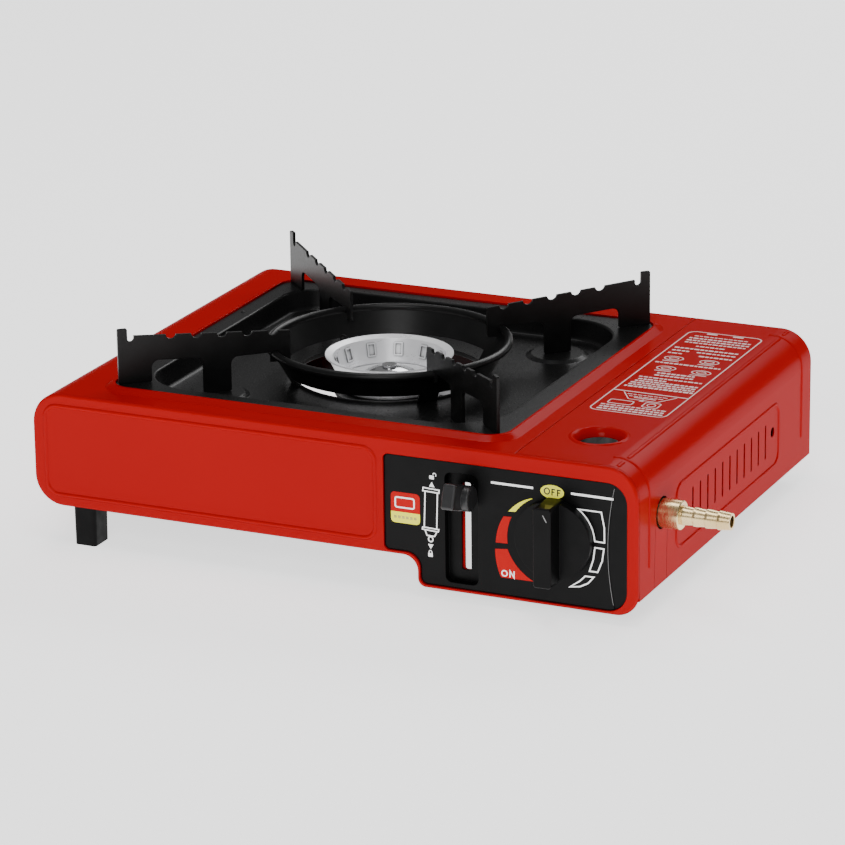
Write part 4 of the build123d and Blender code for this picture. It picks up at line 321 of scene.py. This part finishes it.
MATERIALS = {
    "red_enamel": red_enamel(),
    "black_enamel": black_enamel(),
    "matt_black": matt_black(),
    "black_panel": black_moulding("black_panel", 0.002, 0.004, (0.3, 0.42)),
    "black_knob": black_moulding("black_knob", 0.002, 0.004, (0.32, 0.44)),
    "foot_plastic": black_moulding("foot_plastic", 0.0015, 0.003, (0.45, 0.6)),
    "zinc_sheet": sheet_metal("zinc_sheet", 0.38, 0.52, (1, 1, 1), (0.35, 0.5)),
    "steel_parts": sheet_metal("steel_parts", 0.42, 0.56, (1, 1, 6), (0.25, 0.38)),
    # burner and flame cap get painted shade in their narrow crevices
    "cast_burner": sheet_metal("cast_burner", 0.88, 0.96, (1, 1, 3), (0.26, 0.38), 0.3, crevice_shade=0.1),
    "flame_cap": sheet_metal("flame_cap", 0.5, 0.66, (1, 1, 1), (0.08, 0.18), crevice_shade=0.02),
    "cast_valve": sheet_metal("cast_valve", 0.38, 0.5, (1, 1, 1), (0.45, 0.6)),
    "brass": brass("brass", (0.66, 0.47, 0.22), (0.80, 0.62, 0.33), (0.2, 0.32)),
    "copper_pipe": brass("copper_pipe", (0.6, 0.34, 0.2), (0.72, 0.42, 0.26), (0.3, 0.42)),
    "seal_rubber": plain("seal_rubber", (0.012, 0.012, 0.012), (0.02, 0.02, 0.02), (0.6, 0.75)),
    "ceramic": plain("ceramic", (0.66, 0.62, 0.54), (0.76, 0.72, 0.64), (0.2, 0.3)),
    "igniter_case": plain("igniter_case", (0.5, 0.48, 0.42), (0.6, 0.57, 0.5), (0.4, 0.5)),
    "lead_sleeve": plain("lead_sleeve", (0.42, 0.02, 0.015), (0.55, 0.03, 0.02), (0.45, 0.6)),
    "blued_steel": sheet_metal("blued_steel", 0.02, 0.05, (1, 1, 6), (0.4, 0.55)),
    # painted sheen: the lever cap gets a lighter copy of the black moulding, standing in for the highlight
    # on its face
    "lit_cap_plastic": black_moulding("lit_cap_plastic", 0.012, 0.02, (0.3, 0.4), ior=1.45),
}
slot_of = {part["node"]: part["material_slot"] for part in frame["record"]["subparts"]}
slot_of.update({"igniter_electrode": "blued_steel", "lever_cap": "lit_cap_plastic"})
for node_name, node in frame["nodes"].items():
    node.data.materials.clear()
    node.data.materials.append(MATERIALS[slot_of[node_name]])

PRINTS = {
    # painted light: the white print glows a little, so it stays bright whatever the lamps give
    "glowing_print_white": plain("glowing_print_white", (0.92, 0.92, 0.91), (0.97, 0.97, 0.96), (0.35, 0.5),
                         Emission_Color=WHITE, Emission_Strength=0.5),
    "print_label": plain("print_label", (0.80, 0.66, 0.64), (0.86, 0.74, 0.72), (0.4, 0.55)),
    "print_red": plain("print_red", (0.50, 0.003, 0.003), (0.54, 0.004, 0.004), (0.4, 0.5),
                       Specular_IOR_Level=0.1),
    # painted light: the yellow print glows a little, brighter than the lamps alone make it
    "glowing_print_yellow": plain("glowing_print_yellow", (0.80, 0.78, 0.04), (0.86, 0.84, 0.06), (0.4, 0.5),
                          Specular_IOR_Level=0.1, Emission_Color=(0.9, 0.86, 0.08, 1),
                          Emission_Strength=0.35),
    "print_ochre": plain("print_ochre", (0.50, 0.44, 0.10), (0.58, 0.52, 0.14), (0.4, 0.55)),
    # painted shade: the knob's yellow mark is coloured dark olive, as it looks in shadow
    "shaded_yellow_print": plain("shaded_yellow_print", (0.10, 0.095, 0.012), (0.13, 0.125, 0.018), (0.4, 0.55)),
    # grey for the knob's tick, and for the painted highlight along the panel's crease
    "grey_print_and_highlight": plain("grey_print_and_highlight", (0.20, 0.20, 0.20), (0.27, 0.27, 0.27), (0.4, 0.55)),
    "print_black": plain("print_black", (0.012, 0.012, 0.012), (0.02, 0.02, 0.02), (0.35, 0.5)),
}


# ---- printed marks ----
def on_panel(a, b, height):
    """Point of the control panel's face: a across, b up."""
    return place(a, PANEL_Y - height, b)


def on_lid(a, b, height):
    """Point of the lid's top: a across, b back."""
    return place(a, b, LID_Z + height)


def on_grip(a, b, height):
    """Point of the grip's front: a across, b up."""
    return place(a, GRIP_Y - height, b)


def on_grip_end(a, b, height):
    """Point of the grip's upper end: a across, b back."""
    return place(a, b, GRIP_TOP_Z + height)


def rectangle(x0, x1, y0, y1):
    return [(x0, y0), (x1, y0), (x1, y1), (x0, y1)]


def rounded_loop(x0, x1, y0, y1, radius, steps=6):
    """Rectangle with round corners."""
    loop = []
    left, right, low, high = x0 + radius, x1 - radius, y0 + radius, y1 - radius
    for quarter, (cx, cy) in enumerate(((right, high), (left, high), (left, low), (right, low))):
        for step in range(steps + 1):
            angle = math.pi / 2 * (quarter + step / steps)
            loop.append((cx + radius * math.cos(angle), cy + radius * math.sin(angle)))
    return loop


def oval(cx, cy, half_x, half_y, steps=36):
    turn = 2 * math.pi / steps
    return [(cx + half_x * math.cos(turn * k), cy + half_y * math.sin(turn * k)) for k in range(steps)]


def spiral(r0, a0, r1, a1, steps=10):
    """Edge about the knob's axis that runs evenly from one radius and angle (degrees) to another."""
    edge = []
    for step in range(steps + 1):
        share = step / steps
        radius, angle = r0 + (r1 - r0) * share, math.radians(a0 + (a1 - a0) * share)
        edge.append((KNOB_X + radius * math.cos(angle), KNOB_Z + radius * math.sin(angle)))
    return edge


def band(edges):
    """Closed shape between two spiral edges."""
    there, back = edges
    return spiral(*there) + spiral(*back)


def line(points, width, closed=False):
    """Quads along a line of even width, mitred at its corners."""
    count = len(points)
    sides = []
    for index, point in enumerate(points):
        before = points[index - 1] if index or closed else None
        after = points[(index + 1) % count] if index < count - 1 or closed else None
        normals = []
        for start, end in ((before, point), (point, after)):
            if start is not None and end is not None:
                along = Vector((end[0] - start[0], end[1] - start[1])).normalized()
                normals.append(Vector((-along.y, along.x)))
        normal = sum(normals, Vector((0, 0))).normalized()
        reach = width / 2 / max(normal.dot(normals[0]), MITRE_LIMIT)
        centre = Vector(point)
        sides.append((centre + normal * reach, centre - normal * reach))
    quads = []
    for index in range(count if closed else count - 1):
        (a, b), (c, d) = sides[index], sides[(index + 1) % count]
        quads.append([tuple(a), tuple(c), tuple(d), tuple(b)])
    return quads


def flat_piece(name, loops, material, to_row, thickness, body):
    """Thin plate from filled loops drawn in a plane; to_row maps (a, b, height) to the row frame."""
    mesh = bpy.data.meshes.new(name)
    shape = bmesh.new()
    for loop in loops:
        low = [shape.verts.new(to_row(a, b, 0)) for a, b in loop]
        high = [shape.verts.new(to_row(a, b, thickness)) for a, b in loop]
        shape.faces.new(high)
        shape.faces.new(low[::-1])
        for index in range(len(loop)):
            after = (index + 1) % len(loop)
            shape.faces.new((low[index], low[after], high[after], high[index]))
    bmesh.ops.recalc_face_normals(shape, faces=shape.faces)
    shape.to_mesh(mesh)
    shape.free()
    mesh.materials.append(material)
    piece = bpy.data.objects.new(name, mesh)
    bpy.context.scene.collection.objects.link(piece)
    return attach(piece, body)


def panel_piece(name, loops, look, thickness=PRINT_T):
    flat_piece(name, loops, PRINTS[look], on_panel, thickness, "casing")


def letter_o(cx, cy, half_x, half_y, stroke):
    return line(oval(cx, cy, half_x, half_y, steps=24), stroke, closed=True)


def letter_f(x0, x1, y0, y1, stroke):
    inset = stroke / 2
    arm = y0 + (y1 - y0) * F_ARM
    parts = (
        [(x0 + inset, y0), (x0 + inset, y1)],
        [(x0, y1 - inset), (x1, y1 - inset)],
        [(x0, arm), (x1 - inset, arm)],
    )
    return [quad for part in parts for quad in line(part, stroke)]


def letter_n(x0, x1, y0, y1, stroke):
    inset = stroke / 2
    return line([(x0 + inset, y0), (x0 + inset, y1), (x1 - inset, y0), (x1 - inset, y1)], stroke)


def padlock(cx, y0, swung):
    """Small lock sign: a body and a shackle, which is swung aside when it is open."""
    body = rounded_loop(cx - LOCK_HALF, cx + LOCK_HALF, y0, y0 + LOCK_HIGH, LOCK_CORNER)
    bow_x = cx + (BOW_SWING if swung else 0)
    top, foot = y0 + BOW_RISE, y0 + BOW_FOOT
    turns = [math.pi * k / BOW_STEPS for k in range(BOW_STEPS + 1)]
    bow = [(bow_x + BOW_R * math.cos(turn), top + BOW_R * math.sin(turn)) for turn in turns]
    shackle = [(bow_x + BOW_R, foot)] + bow + [(bow_x - BOW_R, top if swung else foot)]
    return [body] + line(shackle, BOW_W)


def cartridge_sign():
    """Plain gas can, drawn with its valve down."""
    marks = line(CAN_BOTTOM, THIN_W, closed=True)
    for side in CAN_SIDES:
        marks += line(side, THIN_W)
    marks += line(CAN_COLLAR, THIN_W, closed=True)
    marks += line(CAN_NECK, THIN_W)
    return marks + line(oval(*CAN_VALVE, steps=20), THIN_W, closed=True)


def panel_prints():
    """White, yellow, red and black marks on the control panel."""
    white = []
    for bar in DIAL_BARS:
        white += line(bar, DIAL_BAR_W)
    for zone in (spiral(*ZONE_EDGE) + UPPER_ZONE, *OTHER_ZONES):
        white += line(zone, ZONE_W, closed=True)
    white += LEVER_ARROWS + cartridge_sign()
    white += padlock(*OPEN_LOCK, swung=True) + padlock(*SHUT_LOCK, swung=False)
    panel_piece("panel_print_white", white, "glowing_print_white")
    panel_piece("panel_print_yellow", [oval(*OFF_PLATE), band(YELLOW_WEDGE)], "glowing_print_yellow")
    panel_piece("panel_print_red", [band(RED_UPPER), band(RED_FAN)], "print_red")
    panel_piece("word_on", letter_o(*ON_O, ON_W) + letter_n(*ON_N, ON_W), "glowing_print_white", OVER_T)
    word_off = letter_o(*OFF_O, OFF_W)
    for edges in OFF_FS:
        word_off += letter_f(*edges, OFF_W)
    panel_piece("word_off", word_off, "print_black", OVER_T)


def crease_highlight():
    """Painted highlight: a thin light grey line along the edge of the panel's crease, where the bend
    catches the light.
    """
    edge = []
    for step in range(CREASE_POINTS):
        rise = CREASE_FOOT_Z + step * CREASE_STEP - CREASE_Z
        edge.append((CREASE_X - math.sqrt(CREASE_R ** 2 - rise ** 2) - CREASE_INSET, CREASE_Z + rise))
    panel_piece("crease_highlight", line(edge, CREASE_W), "grey_print_and_highlight")


def sticker():
    """Plain two-coloured sticker with an empty frame and a row of bars."""
    edge = rounded_loop(*STICKER, STICKER_CORNER)
    panel_piece("sticker_red", [[(x, max(z, STICKER_SPLIT_Z)) for x, z in edge]], "print_red")
    panel_piece("sticker_yellow", [[(x, min(z, STICKER_SPLIT_Z)) for x, z in edge]], "glowing_print_yellow")
    frame_line = line(rounded_loop(*STICKER_FRAME, FRAME_CORNER), FRAME_W, closed=True)
    panel_piece("sticker_frame", frame_line, "glowing_print_white", OVER_T)
    bars = [rectangle(x, x + BAR_WIDE, BAR_FOOT, BAR_TOP) for x in BAR_LEFTS]
    panel_piece("sticker_bars", bars, "print_ochre", OVER_T)


def label_rows():
    """Rows of plain dashes; each row starts with another length of dash."""
    marks = []
    for number, (y, x0, x1, height) in enumerate(LABEL_ROWS):
        x, turn = x0, number
        while x < x1 - ROW_LEFT_OVER:
            wide = min(DASHES[turn % len(DASHES)], x1 - x)
            marks.append(rectangle(x, x + wide, y - height / 2, y + height / 2))
            x, turn = x + wide + DASH_GAP, turn + 1
    return marks


def label_rings():
    """Four plain burner signs: two rings and a bar each."""
    marks = []
    for x, y in RINGS:
        marks += line(oval(x, y, *RING_OUTER, steps=28), RING_OUTER_W, closed=True)
        marks += line(oval(x, y, *RING_INNER, steps=20), RING_INNER_W, closed=True)
        bar_y = y - RING_BAR_DROP
        marks += line([(x - RING_BAR_HALF, bar_y), (x + RING_BAR_HALF, bar_y)], RING_BAR_W)
    return marks


def lid_label():
    """Thin frame with rows of plain dashes and rings, in place of the printed text."""
    marks = line(rounded_loop(*LABEL, LABEL_CORNER), THIN_W, closed=True)
    marks += line(LABEL_SPLIT, BOLD_W)
    marks += label_rows() + label_rings()
    marks += line(TROUGH, TROUGH_W)
    for box in BOXES:
        marks += line(rounded_loop(*box, BOX_CORNER), BOX_W, closed=True)
    marks += line(TROUGH_BASE, BOLD_W)
    marks += line(oval(*BOX_RING, steps=18), BOX_RING_W, closed=True)
    marks.append(LABEL_ARROW)
    marks += [rounded_loop(x, x + TAB_WIDE, TAB_FRONT, TAB_BACK, TAB_CORNER) for x in TAB_LEFTS]
    flat_piece("lid_label", marks, PRINTS["print_label"], on_lid, PRINT_T, "lid")


def knob_marks():
    """Yellow patch on the grip's upper end, coloured dark olive as painted shade, and tick on its front.
    """
    flat_piece("knob_spot", [KNOB_SPOT], PRINTS["shaded_yellow_print"], on_grip_end, PRINT_T, "knob")
    tick = line(KNOB_TICK, KNOB_TICK_W)
    flat_piece("knob_tick", tick, PRINTS["grey_print_and_highlight"], on_grip, PRINT_T, "knob")


panel_prints()
crease_highlight()
sticker()
lid_label()
knob_marks()


# ---- floor, light and camera ----
def floor():
    mesh = bpy.data.meshes.new("floor")
    corners = [(*corner, 0) for corner in rectangle(-FLOOR_HALF, FLOOR_HALF, -FLOOR_HALF, FLOOR_HALF)]
    mesh.from_pydata(corners, [], [(0, 1, 2, 3)])
    paint = Shader("floor_paint", (0.86, 0.86, 0.86), 0.7, Specular_IOR_Level=0.0,
                   Emission_Color=WHITE, Emission_Strength=FLOOR_GLOW)
    paint.tint(paint.noise(scale=2, detail=2), low=(0.85, 0.85, 0.85), high=(0.87, 0.87, 0.87))
    mesh.materials.append(paint.material)
    piece = bpy.data.objects.new("floor", mesh)
    bpy.context.scene.collection.objects.link(piece)


def area_light(name, position, target, size, watts):
    light = bpy.data.lights.new(name, "AREA")
    light.shape, light.size, light.size_y = "RECTANGLE", *size
    light.energy = watts
    lamp = bpy.data.objects.new(name, light)
    lamp.location = position
    lamp.rotation_euler = (Vector(target) - Vector(position)).to_track_quat("-Z", "Y").to_euler()
    bpy.context.scene.collection.objects.link(lamp)


def studio():
    world = bpy.data.worlds.new("studio")
    world.use_nodes = True
    backdrop = world.node_tree.nodes["Background"]
    backdrop.inputs["Color"].default_value = WHITE
    backdrop.inputs["Strength"].default_value = WORLD_GLOW
    bpy.context.scene.world = world
    for name, settings in LIGHTS.items():
        area_light(name, *settings)


def camera():
    """Camera of the photo, from a fit to its edges."""
    yaw, pitch, roll = (math.radians(angle) for angle in CAMERA_TURNS)
    forward = Vector((-math.sin(yaw) * math.cos(pitch), math.cos(yaw) * math.cos(pitch), -math.sin(pitch)))
    level = Vector((math.cos(yaw), math.sin(yaw), 0))
    upward = level.cross(forward)
    right = level * math.cos(roll) + upward * math.sin(roll)
    top = upward * math.cos(roll) - level * math.sin(roll)
    data = bpy.data.cameras.new("camera")
    data.sensor_width = SENSOR_MM
    data.lens = LENS_MM
    lens = bpy.data.objects.new("camera", data)
    turn = Matrix((right, top, -forward)).transposed()
    lens.matrix_world = Matrix.Translation(place(*CAMERA_AT)) @ turn.to_4x4()
    bpy.context.scene.collection.objects.link(lens)
    bpy.context.scene.camera = lens


floor()
studio()
camera()
